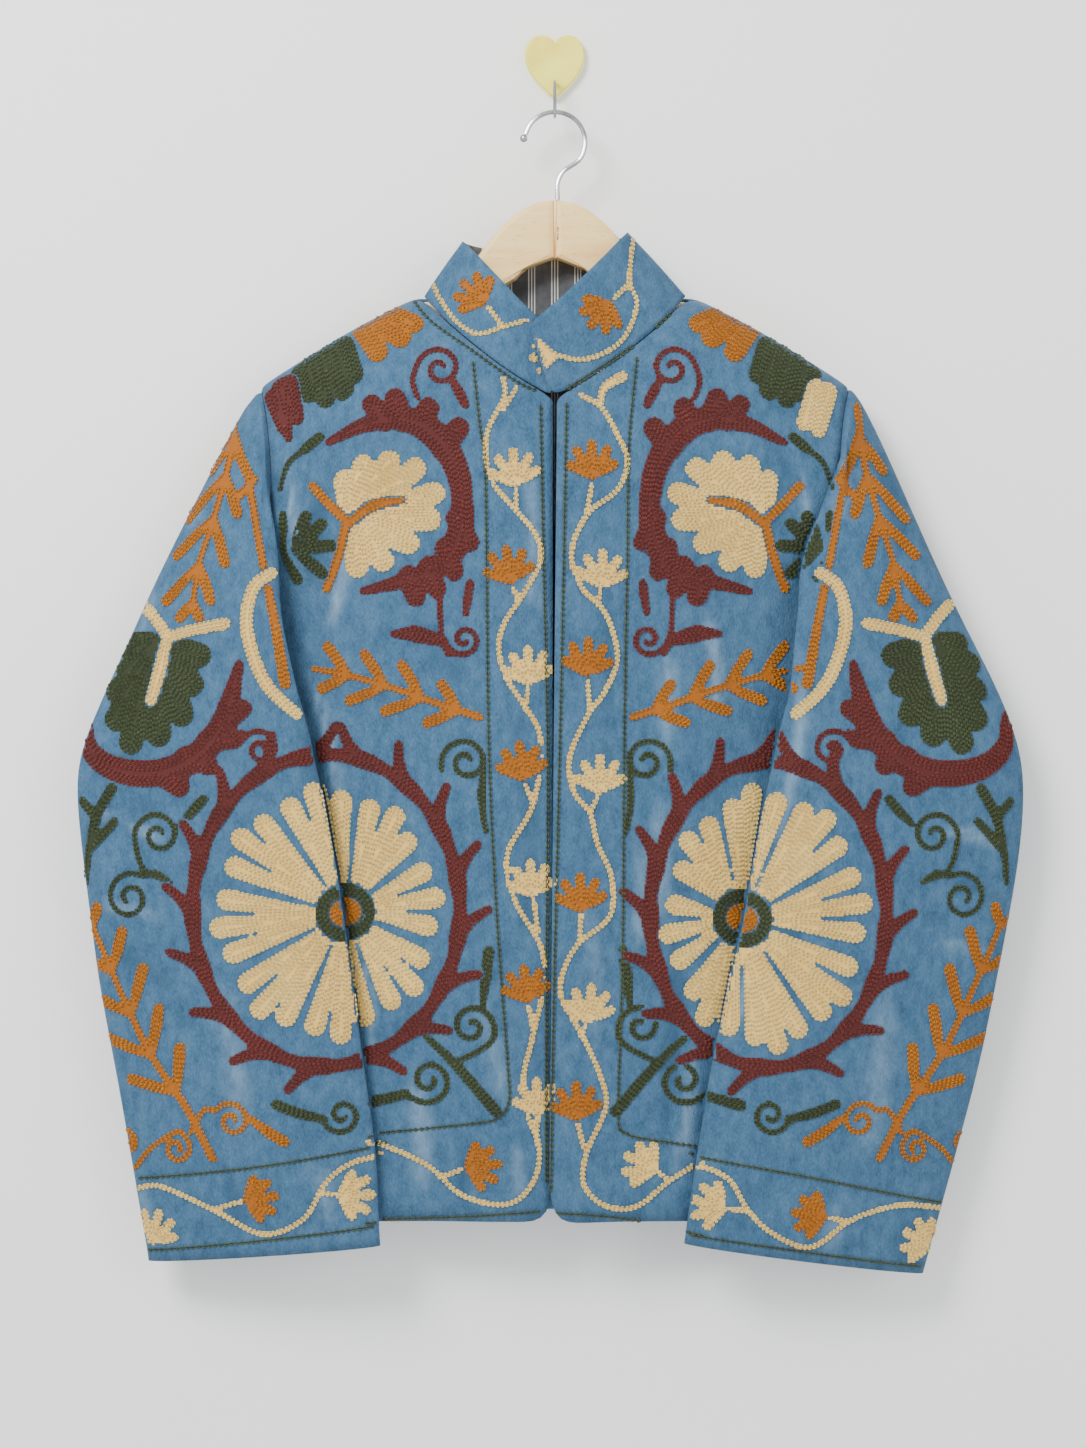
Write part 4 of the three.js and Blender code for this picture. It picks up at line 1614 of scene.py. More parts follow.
@dataclass(frozen=True)
class Branch:
    """A line of stitches that swells and narrows: a stem, a leaf or part of a larger form."""

    thread: Thread
    points: tuple[Place, ...]
    radii: tuple[float, ...]
    part: int = 0

    def draw(self, chart: StitchMap, at: Placing) -> None:
        """Draw it on a map."""
        chart.stroke(self.thread, at.points(self.points), self.radii, self.part)


@dataclass(frozen=True)
class Scroll:
    """A stem that rolls up into a spiral."""

    thread: Thread
    x: float
    z: float
    radius: float
    start: float
    turns: float
    wide: float = 2.1
    stem: tuple[Place, ...] = ()
    inward: float = 0.8
    ease: float = 0.85
    least_steps: int = 8
    steps_a_turn: int = 12
    end: float = 0.95

    def draw(self, chart: StitchMap, at: Placing) -> None:
        """Draw it on a map."""
        centre = at.point((self.x, self.z))
        points = at.points(self.stem)
        steps = max(self.least_steps, round(abs(self.turns) * self.steps_a_turn))
        for i in range(steps + 1):
            share = i / steps
            degrees = at.turn(self.start + 360.0 * self.turns * share)
            near = self.radius * (1 - self.inward * share**self.ease)
            points.append(polar(centre, degrees, near))
        chart.stroke(self.thread, points, (self.wide, self.wide, self.wide * self.end))


@dataclass(frozen=True)
class Spray:
    """A stem with pairs of finger leaves that lean the way it grows."""

    thread: Thread
    points: tuple[Place, ...]
    stations: tuple[tuple[float, float, float], ...]
    lean: float = 38.0
    stem: float = 2.3
    leaf: float = 4.1
    foot: float = 1.3

    def draw(self, chart: StitchMap, at: Placing) -> None:
        """Draw it on a map."""
        placed = at.points(self.points)
        chart.stroke(self.thread, placed, (self.stem * self.foot, self.stem))
        path = smooth_path(placed, 1.0)
        for share, right, left in self.stations:
            i = min(round(share * (len(path) - 1)), len(path) - 3)
            way = path[i + 2] - path[i]
            along = math.degrees(math.atan2(way[1], way[0]))
            for length, side in ((right, -1.0), (left, 1.0)):
                if length <= 0:
                    continue
                degrees = along + side * self.lean * at.hand()
                foot = (path[i][0], path[i][1])
                tip = polar(foot, degrees, length)
                chart.stroke(self.thread, (foot, tip), (self.stem, self.leaf, self.leaf))


@dataclass(frozen=True)
class Blossom:
    """A small flower of finger petals on a short stem."""

    thread: Thread
    x: float
    z: float
    turn: float
    size: float = 27.0
    petals: int = 5
    petal: float = 3.8
    spread: float = 116.0
    stem: tuple[Place, ...] = ()
    shorter: float = 0.2
    foot: float = 2.0
    stalk: float = 1.9
    waist: float = 0.85

    def draw(self, chart: StitchMap, at: Placing) -> None:
        """Draw it on a map."""
        base, turn = at.point((self.x, self.z)), at.turn(self.turn)
        if self.stem:
            line = [base, *at.points(self.stem)]
            chart.stroke(CREAM, line, (self.stalk, self.stalk))
        for i in range(self.petals):
            side = 2 * i / (self.petals - 1) - 1
            length = self.size * (1 - self.shorter * side * side)
            tip = polar(base, turn + side * self.spread / 2, length - self.petal)
            half = polar(base, turn + side * self.spread / 2, length * 0.5)
            radii = (self.foot, self.petal * self.waist, self.petal)
            chart.stroke(self.thread, (base, half, tip), radii, 1 + i % 2)


@dataclass(frozen=True)
class Fan:
    """A broad flower head: round lobes that spread from its foot."""

    thread: Thread
    x: float
    z: float
    tips: tuple[Place, ...]
    lobe: float
    foot: float = 0.6

    def draw(self, chart: StitchMap, at: Placing) -> None:
        """Draw it on a map."""
        base = at.point((self.x, self.z))
        radii = (self.lobe * self.foot, self.lobe, self.lobe)
        for i, tip in enumerate(self.tips):
            chart.stroke(self.thread, (base, at.point(tip)), radii, 1 + i % 2)


@dataclass(frozen=True)
class Wreath:
    """A ring of stem with blunt thorns that all lean upwards from its foot."""

    thread: Thread
    x: float
    z: float
    wide: float
    high: float
    thorns: int = 17
    thorn: float = 27.0
    lean: float = 47.0
    stem: float = 5.6
    swell: float = 1.0
    between: int = 6
    thorn_radii: tuple[float, ...] = (5.6, 4.4, 3.4)
    bow: float = 1.15

    def draw(self, chart: StitchMap, at: Placing) -> None:
        """Draw it on a map."""
        centre = at.point((self.x, self.z))
        ring, widths = [], []
        steps, last = self.thorns * self.between, self.between - 1
        for i in range(steps + 1):
            turn = math.tau * i / steps - math.pi / 2
            ring.append((centre[0] + self.wide * math.cos(turn), centre[1] + self.high * math.sin(turn)))
            widths.append(self.stem + self.swell * math.cos(math.tau * (i - last) / self.between))
        chart.stroke(self.thread, ring, widths)
        for at_ring in range(last, steps, self.between):
            turn = math.tau * at_ring / steps - math.pi / 2
            side = 1.0 if math.cos(turn) > 0 else -1.0
            foot = ring[at_ring]
            out = math.degrees(math.atan2(math.sin(turn) / self.high, math.cos(turn) / self.wide))
            bend = polar(foot, out + side * self.lean * self.bow, self.thorn * 0.5)
            end = polar(foot, out + side * self.lean, self.thorn)
            chart.stroke(self.thread, (foot, bend, end), self.thorn_radii)


@dataclass(frozen=True)
class Rosette:
    """A large round flower of finger petals in threes round a ringed eye."""

    x: float
    z: float
    wide: float
    high: float
    eye_shift: float = 0.0
    eye: float = 20.0
    groups: int = 8
    slit: float = 0.26
    first: float = 97.0
    tips: tuple[float, ...] = (0.93, 1.0, 0.93)
    petal_share: float = 0.365
    swell: tuple[float, ...] = (0.44, 0.58, 0.80, 1.0)
    foot_spread: float = 0.35
    foot: float = 0.85
    ring: float = 0.76
    ring_width: float = 0.25
    spot: float = 0.48

    def draw(self, chart: StitchMap, at: Placing) -> None:
        """Draw it on a map."""
        centre = at.point((self.x, self.z))
        eye = at.point((self.x + self.eye_shift, self.z))
        pitch = 360.0 / (self.groups * (len(self.tips) + self.slit))
        petal = (self.wide + self.high) / 2 * math.radians(pitch) * self.petal_share
        radii = [petal * share for share in self.swell]
        wide, high = self.wide - petal, self.high - petal
        for i in range(self.groups * len(self.tips)):
            group, place = divmod(i, len(self.tips))
            middle = self.first + group * 360.0 / self.groups
            own = middle + (place - 1) * pitch
            turn = math.radians(own)
            reach = self.tips[place]
            end = (
                centre[0] + wide * reach * math.cos(turn),
                centre[1] + high * reach * math.sin(turn),
            )
            heading = math.degrees(math.atan2(end[1] - eye[1], end[0] - eye[0]))
            way = heading + (middle - own) * self.foot_spread
            start = polar(eye, way, self.eye * self.foot)
            chart.stroke(CREAM, (start, end), radii, 1 + i % 2)
        ring = [polar(eye, 15.0 * i, self.eye * self.ring) for i in range(25)]
        chart.stroke(GREEN, ring, (self.eye * self.ring_width,) * 2)
        spot = (polar(eye, 0, 1), polar(eye, 180, 1))
        chart.stroke(OCHRE, spot, (self.eye * self.spot,) * 2)


YOKE = (
    # The crescent with its lobes, opening towards the armhole.
    Branch(RUST, ((-158, -276), (-132, -264), (-106, -260), (-85, -270), (-69, -293), (-64, -323),
        (-70, -350), (-87, -366), (-109, -373), (-134, -379)),
        (2.8, 5.5, 8.6, 10.0, 8.8, 7.4, 9.6, 8.0, 5.4, 3.0)),
    Branch(RUST, ((-118, -262), (-127, -250)), (7.0, 7.3)),
    Branch(RUST, ((-105, -262), (-111, -246)), (8.0, 7.7)),
    Branch(RUST, ((-92, -267), (-88, -253)), (8.0, 7.9)),
    Branch(RUST, ((-78, -281), (-67, -267)), (8.4, 7.9)),
    Branch(RUST, ((-68, -329), (-59, -346)), (8.0, 6.7)),
    Branch(RUST, ((-76, -350), (-70, -366)), (8.0, 6.9)),
    Branch(RUST, ((-88, -363), (-82, -378)), (8.0, 6.9)),
    Branch(RUST, ((-102, -369), (-97, -383)), (8.0, 7.5)),
    Scroll(RUST, -80, -225, 16.5, 175, -1.4, 2.2, ((-95, -246), (-99, -234))),
    Branch(RUST, ((-72, -232), (-67, -241), (-62, -251)), (2.4, 4.0, 3.2)),
    Branch(RUST, ((-80, -384), (-79, -413)), (2.0, 2.2)),
    Branch(RUST, ((-113, -409), (-98, -409), (-78, -414)), (2.8, 6.4, 4.0)),
    Scroll(RUST, -63, -413, 12.5, 200, 1.35, 2.2, ((-79, -413), (-74, -424))),
    Branch(RUST, ((-59, -374), (-62, -395)), (3.2, 3.4, 2.4)),
    # The broad cream flower in the crescent.
    Fan(CREAM, -142, -331, ((-146, -303), (-133, -293), (-115, -290), (-97, -295), (-84, -312),
        (-87, -330), (-102, -346), (-120, -358), (-138, -362)), 8.2),
    Branch(OCHRE, ((-144, -332), (-127, -320), (-106, -316)), (3.0, 3.8, 2.4)),
    Branch(OCHRE, ((-169, -306), (-157, -319), (-144, -332)), (3.6, 3.6, 3.2)),
    Branch(OCHRE, ((-146, -334), (-152, -357), (-160, -377)), (3.2, 3.4, 3.6)),
    # Leaves at the shoulder.
    Branch(OCHRE, ((-136, -191), (-124, -212)), (9.0, 7.8)),
    Branch(OCHRE, ((-127, -187), (-108, -202)), (9.0, 8.0)),
    Branch(OCHRE, ((-118, -183), (-99, -192)), (8.6, 7.4)),
    Branch(GREEN, ((-178, -225), (-172, -241)), (8.4, 7.0), 1),
    Branch(GREEN, ((-169, -216), (-160, -245)), (9.4, 7.2), 1),
    Branch(GREEN, ((-159, -210), (-148, -239)), (9.4, 7.8), 1),
    Branch(GREEN, ((-149, -206), (-141, -228)), (8.6, 7.8), 1),
    Branch(GREEN, ((-164, -272), (-174, -280)), (3.8, 3.8)),
    Branch(GREEN, ((-174, -280), (-186, -290), (-192, -308)), (2.4, 2.2, 1.8)),
    Branch(GREEN, ((-190, -326), (-190, -337)), (3.4, 3.4)),
    Branch(GREEN, ((-190, -332), (-190, -351), (-181, -370)), (2.2, 2.4, 4.4)),
    Fan(GREEN, -183, -349, ((-174, -327), (-163, -332), (-157, -347), (-163, -366)), 4.6),
    # The spray under the crescent.
    Spray(OCHRE, ((-52, -467), (-80, -458), (-112, -447), (-147, -437), (-170, -433)),
        ((0.12, 22, 24), (0.34, 27, 28), (0.56, 27, 28), (0.78, 26, 22))),
    Scroll(GREEN, -62, -498, 18.0, 200, -1.5, 2.2),
    Branch(GREEN, ((-50, -497), (-51, -525), (-48, -547)), (2.0, 2.8, 2.0)),
)

UNDER_WREATH = (
    Branch(GREEN, ((-93, -687), (-70, -708), (-41, -741)), (2.4, 4.0, 4.4)),
    Scroll(GREEN, -58, -682, 17.0, -35, 1.4, 2.3, ((-72, -708), (-55, -700))),
    Branch(GREEN, ((-46, -629), (-48, -644), (-50, -665)), (4.0, 4.2, 2.4)),
    Scroll(GREEN, -88, -720, 17.0, -120, 1.4, 2.3, ((-106, -731), (-96, -734))),
    Branch(GREEN, ((-127, -736), (-104, -730)), (4.4, 3.6)),
    Scroll(GREEN, -148, -743, 14.0, 200, 1.35, 2.2),
    Branch(GREEN, ((-194, -736), (-178, -742), (-160, -746)), (3.8, 4.0, 3.0)),
)

SLEEVE = (
    Spray(OCHRE, ((-225, -248), (-229, -290), (-239, -330), (-248, -358), (-253, -388)),
        ((0.16, 28, 32), (0.34, 42, 30), (0.56, 38, 34), (0.8, 36, 28), (0.99, 15, 15)), 30),
    Branch(OCHRE, ((-225, -266), (-214, -302), (-205, -350), (-195, -399), (-187, -444)),
        (2.2, 2.8, 2.8, 3.4, 4.2)),
    Branch(OCHRE, ((-209, -301), (-223, -315)), (2.6, 3.6)),
    Branch(CREAM, ((-197, -367), (-209, -377), (-214, -400), (-209, -425), (-198, -447), (-179, -465)),
        (4.4, 4.6, 4.8, 4.8, 4.6, 4.2)),
    Fan(GREEN, -273, -416, ((-294, -416), (-303, -430), (-307, -449), (-307, -468), (-296, -484),
        (-276, -479), (-260, -465), (-253, -444), (-248, -424)), 9.2),
    Branch(CREAM, ((-290, -388), (-281, -397), (-271, -410)), (4.4, 4.4, 4.2), 3),
    Branch(CREAM, ((-229, -402), (-251, -406), (-270, -411)), (4.4, 4.2, 4.0), 3),
    Branch(CREAM, ((-271, -411), (-276, -434), (-282, -455)), (3.8, 5.0, 4.4), 3),
    # The lobed arc below it.
    Branch(RUST, ((-330, -466), (-327, -489), (-308, -503), (-278, -506), (-250, -495), (-230, -470),
        (-219, -430)), (4.0, 8.0, 9.4, 9.8, 9.6, 8.0, 3.2)),
    Branch(RUST, ((-234, -476), (-216, -461)), (7.0, 6.5)),
    Branch(RUST, ((-242, -484), (-222, -482)), (8.0, 7.1)),
    Branch(RUST, ((-257, -495), (-241, -500)), (8.0, 7.3)),
    Branch(RUST, ((-276, -505), (-261, -515)), (8.5, 7.7)),
    Scroll(RUST, -204, -489, 14.5, 160, -1.4, 2.1, ((-223, -484), (-216, -477))),
    # Scrolls and leaves under the arc.
    Branch(GREEN, ((-310, -517), (-321, -536), (-327, -560), (-330, -584)), (4.2, 4.0, 3.0, 2.2)),
    Branch(GREEN, ((-324, -557), (-308, -540)), (3.8, 3.4)),
    Branch(GREEN, ((-321, -538), (-332, -526)), (3.8, 3.4)),
    Scroll(GREEN, -276, -549, 17.5, 190, -1.45, 2.2, ((-269, -581), (-287, -573))),
    Branch(GREEN, ((-244, -524), (-252, -533), (-260, -541)), (3.8, 3.8, 2.6)),
    Scroll(GREEN, -297, -593, 18.5, 55, 1.5, 2.1, ((-268, -582), (-278, -575))),
    Spray(OCHRE, ((-239, -775), (-258, -739), (-284, -701), (-307, -654), (-326, -612)),
        ((0.28, 32, 34), (0.45, 34, 36), (0.62, 34, 34), (0.8, 30, 28), (0.99, 14, 14)), 40,
        2.5, 4.3),
    Scroll(OCHRE, -225, -748, 14.0, 150, -1.4, 2.1, ((-255, -758), (-245, -741))),
    Branch(OCHRE, ((-212, -746), (-200, -755), (-188, -762)), (2.8, 4.0, 4.2)),
    Scroll(OCHRE, -265, -769, 12.0, 90, -1.4, 2.1, ((-296, -785), (-284, -770))),
    Scroll(OCHRE, -302, -767, 9.0, 90, -1.3, 2.0),
)

RIGHT_SHOULDER_END = (
    Branch(RUST, ((-198, -242), (-190, -266)), (7.0, 4.0), 1),
    Branch(RUST, ((-192, -235), (-186, -272)), (8.0, 3.2), 1),
    Branch(RUST, ((-187, -232), (-180, -258)), (7.0, 5.4), 1),
)
LEFT_SHOULDER_END = (
    Branch(CREAM, ((184, -237), (174, -262)), (8.0, 6.2), 1),
    Branch(CREAM, ((192, -238), (184, -267)), (7.0, 5.6), 2),
)

CUFF_RIGHT = (
    Branch(CREAM, ((-302, -802), (-287, -797), (-274, -797), (-239, -811), (-204, -827),
        (-175, -816), (-159, -790), (-142, -777), (-122, -772)), (2.0, 2.0)),
    Blossom(OCHRE, -216, -804, 10, 25, stem=((-239, -811),)),
    Blossom(CREAM, -150, -799, 0, 26, stem=((-163, -797),)),
    Blossom(CREAM, -284, -837, 75, 26),
)
CUFF_LEFT = (
    Branch(CREAM, ((94, -781), (102, -779), (121, -788), (133, -808), (150, -825),
        (178, -836), (206, -818), (241, -809), (273, -813)), (2.0, 2.0)),
    Blossom(CREAM, 118, -808, 165, 26, stem=((133, -810),)),
    Blossom(OCHRE, 188, -815, 170, 25, stem=((206, -819),)),
    Blossom(CREAM, 266, -840, 150, 26),
)

VINE_RIGHT = (
    Branch(CREAM, ((-36, -232), (-35, -245), (-46, -267), (-48, -285), (-43, -305), (-28, -323),
        (-14, -340), (-10, -358), (-22, -382), (-34, -400), (-39, -417), (-35, -438), (-24, -455),
        (-10, -482), (-15, -527), (-33, -562), (-28, -594), (-10, -626), (-8, -653), (-16, -691),
        (-22, -718), (-19, -744), (-11, -766), (-15, -790), (-33, -806), (-65, -800), (-90, -779),
        (-131, -762)), (2.0, 2.0)),
    Branch(CREAM, ((-27, -239), (-35, -253)), (1.8, 1.8)),
    Blossom(CREAM, -27, -307, 95, 27, stem=((-27, -322),)),
    Blossom(OCHRE, -31, -374, 97, 27, stem=((-25, -386),)),
    Blossom(CREAM, -18, -444, 92, 27, stem=((-21, -461),)),
    Blossom(OCHRE, -22, -510, 96, 27, stem=((-15, -528),)),
    Blossom(CREAM, -15, -591, 96, 26, stem=((-12, -616),)),
    Blossom(OCHRE, -19, -664, 97, 26, stem=((-15, -686),)),
    Blossom(CREAM, -12, -743, 92, 26, stem=((-13, -763),)),
    Blossom(OCHRE, -62, -781, 8, 26, stem=((-80, -788),)),
)
VINE_LEFT = (
    Branch(CREAM, ((17, -244), (32, -253), (43, -272), (50, -290), (43, -310), (24, -325),
        (13, -345), (12, -363), (20, -380), (31, -390), (39, -405), (43, -428), (34, -450),
        (23, -465), (10, -495), (13, -519), (24, -533), (29, -554), (39, -578), (38, -605),
        (16, -624), (5, -645), (5, -664), (19, -688), (32, -718), (35, -739), (22, -769),
        (20, -792), (35, -807), (57, -808), (80, -790), (103, -777)), (2.0, 2.0)),
    Branch(CREAM, ((47, -231), (34, -239), (31, -251)), (4.0, 3.2, 2.0)),
    Blossom(OCHRE, 26, -302, 92, 27, stem=((22, -325),)),
    Blossom(CREAM, 32, -377, 88, 27, stem=((29, -389),)),
    Blossom(OCHRE, 22, -438, 88, 27, stem=((24, -463),)),
    Blossom(CREAM, 31, -519, 90, 27, stem=((24, -533),)),
    Blossom(OCHRE, 18, -601, 92, 27, stem=((17, -623),)),
    Blossom(CREAM, 22, -678, 82, 27, stem=((18, -688),)),
    Blossom(OCHRE, 15, -746, 92, 27, stem=((20, -767),)),
    Blossom(CREAM, 70, -783, 152, 26, stem=((80, -790),)),
)

COLLAR = (
    Branch(CREAM, ((-89, -153), (-81, -172), (-69, -190), (-54, -200), (-36, -196), (-20, -192)),
        (1.8, 1.8)),
    Blossom(OCHRE, -49, -178, 135, 25, stem=((-36, -196),)),
    Branch(CREAM, ((55, -129), (52, -162), (57, -178), (50, -200), (37, -213), (17, -220),
        (-5, -216)), (1.8, 1.8)),
    Blossom(OCHRE, 38, -179, 232, 25, stem=((52, -164),)),
    Branch(CREAM, ((-1, -218), (-13, -209)), (2.6, 3.6)),
    Branch(CREAM, ((-1, -218), (-15, -218)), (2.6, 3.6)),
    Branch(CREAM, ((-1, -219), (-10, -227)), (2.6, 3.4)),
)

WREATHS = (
    (Wreath(RUST, -159, -601, 93, 108), Rosette(-158, -603, 83, 92, 12)),
    (Wreath(RUST, 148, -604, 82, 106), Rosette(146, -607, 75, 95, -16)),
)

# Single rows in green: beside the vine, along the front edges, the hem, the cuffs, the collar.
FRONT_LINES = (
    ((-57, -220), (-52, -266), (-48, -305), (-46, -480), (-41, -595), (-33, -707), (-32, -734),
        (-40, -746), (-59, -750), (-131, -759)),
    ((57, -217), (51, -280), (50, -355), (48, -480), (47, -629), (44, -742), (48, -755),
        (59, -760), (103, -767)),
    ((-10, -251), (-8, -357), (-5, -497), (-6, -665), (-6, -791)),
    ((8, -250), (6, -357), (3, -497), (-1, -665), (-3, -798)),
    ((-132, -819), (-74, -816), (-6, -811)),
    ((-3, -811), (46, -816), (103, -827)),
    ((-102, -169), (-88, -189), (-59, -211), (-24, -236), (-1, -244)),
    ((1, -245), (24, -230), (59, -205), (86, -178), (93, -167)),
)
SLEEVE_LINES = (
    ((-304, -794), (-295, -792), (-206, -780), (-117, -764)),
    ((-296, -844), (-289, -843), (-206, -832), (-118, -820)),
    ((93, -771), (172, -786), (273, -809)),
    ((90, -826), (172, -839), (262, -855)),
)

BACK_VINE = (
    Branch(CREAM, ((0, -205), (20, -240), (-18, -300), (18, -360), (-18, -420), (18, -480),
        (-18, -540), (18, -600), (-18, -660), (18, -720), (0, -772)), (2.2, 2.2)),
    Blossom(OCHRE, -4, -268, 100, 28, stem=((6, -262),)),
    Blossom(CREAM, 2, -328, 80, 28, stem=((-6, -322),)),
    Blossom(OCHRE, -2, -388, 100, 28, stem=((6, -382),)),
    Blossom(CREAM, 2, -448, 80, 28, stem=((-6, -442),)),
    Blossom(OCHRE, -2, -508, 100, 28, stem=((6, -502),)),
    Blossom(CREAM, 2, -568, 80, 28, stem=((-6, -562),)),
    Blossom(OCHRE, -2, -628, 100, 28, stem=((6, -622),)),
    Blossom(CREAM, 2, -688, 80, 28, stem=((-6, -682),)),
    Branch(CREAM, ((-225, -802), (-180, -786), (-135, -806), (-90, -786), (-45, -806),
        (0, -786), (45, -806), (90, -786), (135, -806), (180, -786), (225, -802)), (2.2, 2.2)),
    Branch(CREAM, ((-84, -150), (-50, -160), (-20, -146), (10, -160), (40, -148),
        (70, -158)), (1.8, 1.8)),
    Blossom(OCHRE, -36, -164, 80, 23),
    Blossom(CREAM, 24, -166, 95, 23),
)
BACK_LINES = (
    ((-46, -205), (-46, -420), (-46, -740), (-56, -760), (-230, -766)),
    ((46, -205), (46, -420), (46, -740), (56, -760), (230, -766)),
    ((-240, -820), (0, -812), (240, -820)),
    ((-92, -178), (-50, -188), (0, -191), (50, -188), (92, -178)),
)


@dataclass
class Embroidery:
    """All the chain stitch: one map of the front, one of what shows from behind."""

    sleeve_mirror: float = -6.3
    yoke_mirror: float = 0.7

    def shared(self, chart: StitchMap) -> None:
        """Draw what the front and the back have alike.

        Args:
            chart: The map.
        """
        for place in (AS_DRAWN, Placing(self.yoke_mirror)):
            self.group(chart, YOKE, place)
            self.group(chart, UNDER_WREATH, place)
        for place in (AS_DRAWN, Placing(self.sleeve_mirror)):
            self.group(chart, SLEEVE, place)
        self.group(chart, RIGHT_SHOULDER_END)
        self.group(chart, LEFT_SHOULDER_END)
        for pair in WREATHS:
            self.group(chart, pair)
        self.group(chart, CUFF_RIGHT)
        self.group(chart, CUFF_LEFT)
        for line in SLEEVE_LINES:
            chart.line(GREEN, line)

    @staticmethod
    def group(chart: StitchMap, motifs: Iterable[object], at: Placing = AS_DRAWN) -> None:
        """Draw several motifs in order; a later one lies over those before it."""
        for motif in motifs:
            motif.draw(chart, at)

    def front(self) -> StitchMap:
        """Draw the front.

        Returns:
            The map.
        """
        chart = StitchMap()
        self.shared(chart)
        for group in (VINE_RIGHT, VINE_LEFT, COLLAR):
            self.group(chart, group)
        for line in FRONT_LINES:
            chart.line(GREEN, line)
        return chart

    def back(self) -> StitchMap:
        """Draw what shows from behind.

        Returns:
            The map.
        """
        chart = StitchMap()
        self.shared(chart)
        self.group(chart, BACK_VINE)
        for line in BACK_LINES:
            chart.line(GREEN, line)
        return chart

    def work(self, pieces: dict[str, bpy.types.Object]) -> dict[str, list[bpy.types.Object]]:
        """Embroider the cloth.

        Args:
            pieces: The cloth pieces by node name.

        Returns:
            The pieces of thread by node name.
        """
        worker = Embroiderer(ClothGround(pieces))
        worker.work(self.front(), Lay.FRONT)
        worker.work(self.back(), Lay.BEHIND)
        return worker.make()


@dataclass
class Staple:
    """The small wire staple that joins the two halves of the hanger."""

    x: float = 0.0021
    z: float = -0.1246
    high: float = 0.0095
    wire: float = 0.0009
    proud: float = 0.0005

    def build(self, wood: Sequence[bpy.types.Object]) -> bpy.types.Object:
        """Press it into the front of the wood.

        Args:
            wood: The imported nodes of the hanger's halves.

        Returns:
            The piece.
        """
        start, way = Vector((self.x, -0.5, self.z)), Vector((0, 1, 0))
        depsgraph = bpy.context.evaluated_depsgraph_get()
        faces = [BVHTree.FromObject(node, depsgraph).ray_cast(start, way)[0] for node in wood]
        face = min(hit.y for hit in faces if hit is not None)
        size = Vector((self.wire, self.wire * 2, self.high))
        middle = Vector((self.x, face + self.wire - self.proud, self.z))
        bm = bmesh.new()
        place = Matrix.Translation(middle) @ Matrix.Diagonal((*size, 1.0))
        bmesh.ops.create_cube(bm, size=1.0, matrix=place)
        bmesh.ops.bevel(bm, geom=bm.edges[:], offset=self.wire * 0.3, segments=2, affect="EDGES")
        mesh = bpy.data.meshes.new("staple")
        bm.to_mesh(mesh)
        bm.free()
        mesh.polygons.foreach_set("use_smooth", [True] * len(mesh.polygons))
        mesh.materials.append(WireFinish().material())
        piece = bpy.data.objects.new("staple", mesh)
        bpy.context.scene.collection.objects.link(piece)
        return piece


@dataclass(frozen=True)
class Cut:
    """What a sheet of cloth was cut to, in metres and square metres, and what holds it up."""

    node: str
    width: float
    length: float
    area: float
    rests_on: tuple[str, ...]


HANGER = ("hanger_arm_right", "hanger_arm_left")
CUTS = (
    Cut("front_right", 0.300, 0.665, 0.147, HANGER[:1]),
    Cut("front_left", 0.300, 0.665, 0.149, HANGER[1:]),
    Cut("back", 0.530, 0.665, 0.294, HANGER),
    Cut("sleeve_right", 0.370, 0.610, 0.181, ("front_right_cloth", "back_cloth")),
    Cut("sleeve_left", 0.385, 0.620, 0.194, ("front_left_cloth", "back_cloth")),
    Cut("collar", 0.440, 0.055, 0.022, ("front_right_cloth", "front_left_cloth", "back_cloth")),
    Cut("collar_lining", 0.420, 0.052, 0.020, ("collar_cloth",)),
    Cut("back_facing", 0.135, 0.150, 0.0182, ("back_cloth",)),
)


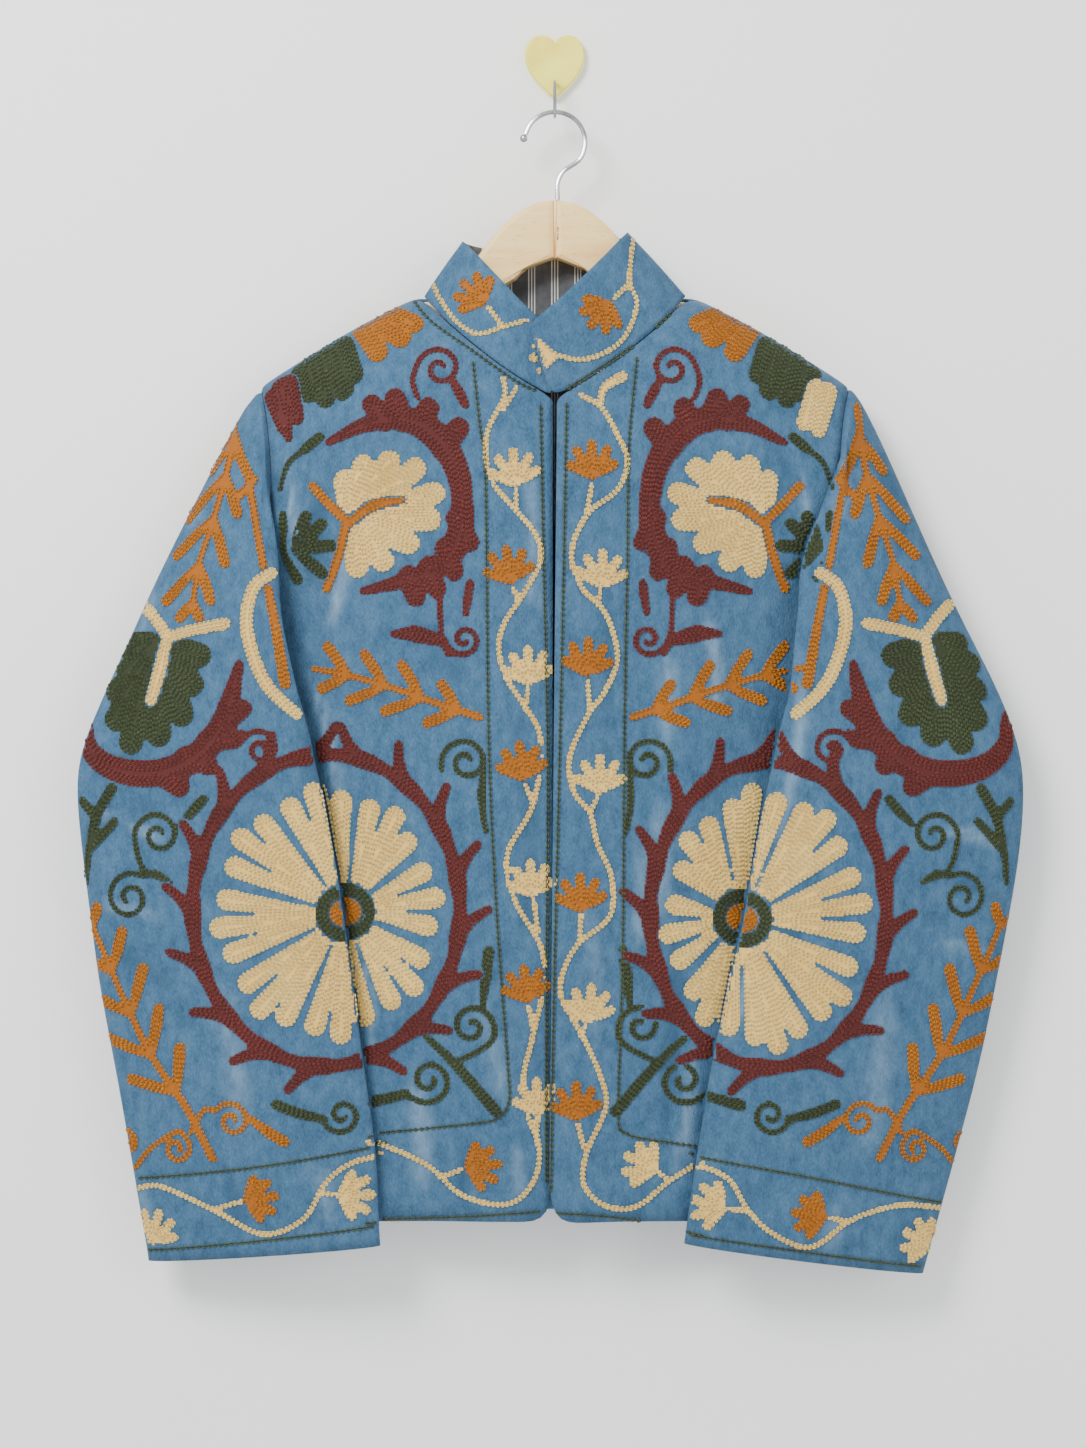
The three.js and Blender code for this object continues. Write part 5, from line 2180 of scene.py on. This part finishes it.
@dataclass
class Jacket:
    """The six velvet pieces and the two of lining, and what is sewn on them."""

    velvet_wall: float = 0.0022
    lining_wall: float = 0.001
    armhole: float = 236.0
    in_collar: tuple[float, float, float] = (0.0, -0.036, -0.19)
    in_right_sleeve: tuple[float, float, float] = (-0.24, -0.045, -0.6)
    in_left_sleeve: tuple[float, float, float] = (0.23, -0.045, -0.6)
    front_field: CreaseField = FRONT_CREASES
    back_field: CreaseField = BACK_CREASES

    def panels(self, velvet: bpy.types.Material, lining: bpy.types.Material) -> list[ClothPanel]:
        """List the cloth pieces.

        Args:
            velvet: The outer cloth.
            lining: The inner cloth.

        Returns:
            One entry for each packed shell.
        """
        outer, inner = (velvet, lining), (lining, lining)
        wall, thin = self.velvet_wall, self.lining_wall
        front, back, edge = self.front_field, self.back_field, self.armhole
        right, left = Vector(self.in_right_sleeve), Vector(self.in_left_sleeve)
        collar = Vector(self.in_collar)
        return [
            ClothPanel("front_right", outer, "velvet", wall, front, still_beyond=edge),
            ClothPanel("front_left", outer, "velvet", wall, front, still_beyond=edge),
            ClothPanel("back", outer, "velvet", wall, back, still_beyond=edge),
            ClothPanel("sleeve_right", outer, "velvet", wall, front, right),
            ClothPanel("sleeve_left", outer, "velvet", wall, front, left),
            ClothPanel("collar", outer, "velvet", wall, None, collar),
            ClothPanel("collar_lining", inner, "stripe", thin, None, collar),
            ClothPanel("back_facing", inner, "stripe", thin),
        ]

    def build(self, nodes: dict[str, bpy.types.Object]) -> dict[str, bpy.types.Object]:
        """Build the cloth and put it in place of its packed shells.

        Args:
            nodes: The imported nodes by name.

        Returns:
            The cloth pieces by node name.
        """
        velvet = VelvetFinish().material()
        lining = LiningFinish().material()
        pieces = {}
        for panel in self.panels(velvet, lining):
            piece = panel.build(nodes[panel.node])
            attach(piece, BODY)
            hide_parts(panel.node)
            pieces[panel.node] = piece
            LOG.info("%s: %d triangles", piece.name, triangle_count(piece))
        return pieces

    @staticmethod
    def declare(
        pieces: dict[str, bpy.types.Object], threads: dict[str, list[bpy.types.Object]]
    ) -> None:
        """Look up the embroidery on each listed cut, and keep nothing of it.

        Args:
            pieces: The cloth pieces by node name; not used.
            threads: The embroidery by node name.
        """
        for cut in CUTS:
            threads.get(cut.node, [])


def main() -> None:
    """Build the jacket, its hanger and the studio, in order."""
    logging.basicConfig(level=logging.INFO, format="%(name)s %(message)s")
    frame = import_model()
    Studio().build()
    Hanging().dress(frame["nodes"])
    jacket = Jacket()
    pieces = jacket.build(frame["nodes"])
    threads = Embroidery().work(pieces)
    for thread in (piece for sewn in threads.values() for piece in sewn):
        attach(thread, BODY)
        LOG.info("%s: %d triangles", thread.name, triangle_count(thread))
    jacket.declare(pieces, threads)
    staple = Staple().build([frame["nodes"][name] for name in HANGER])
    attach(staple, BODY)
    deselect_all()


if __name__ == "__main__":
    main()
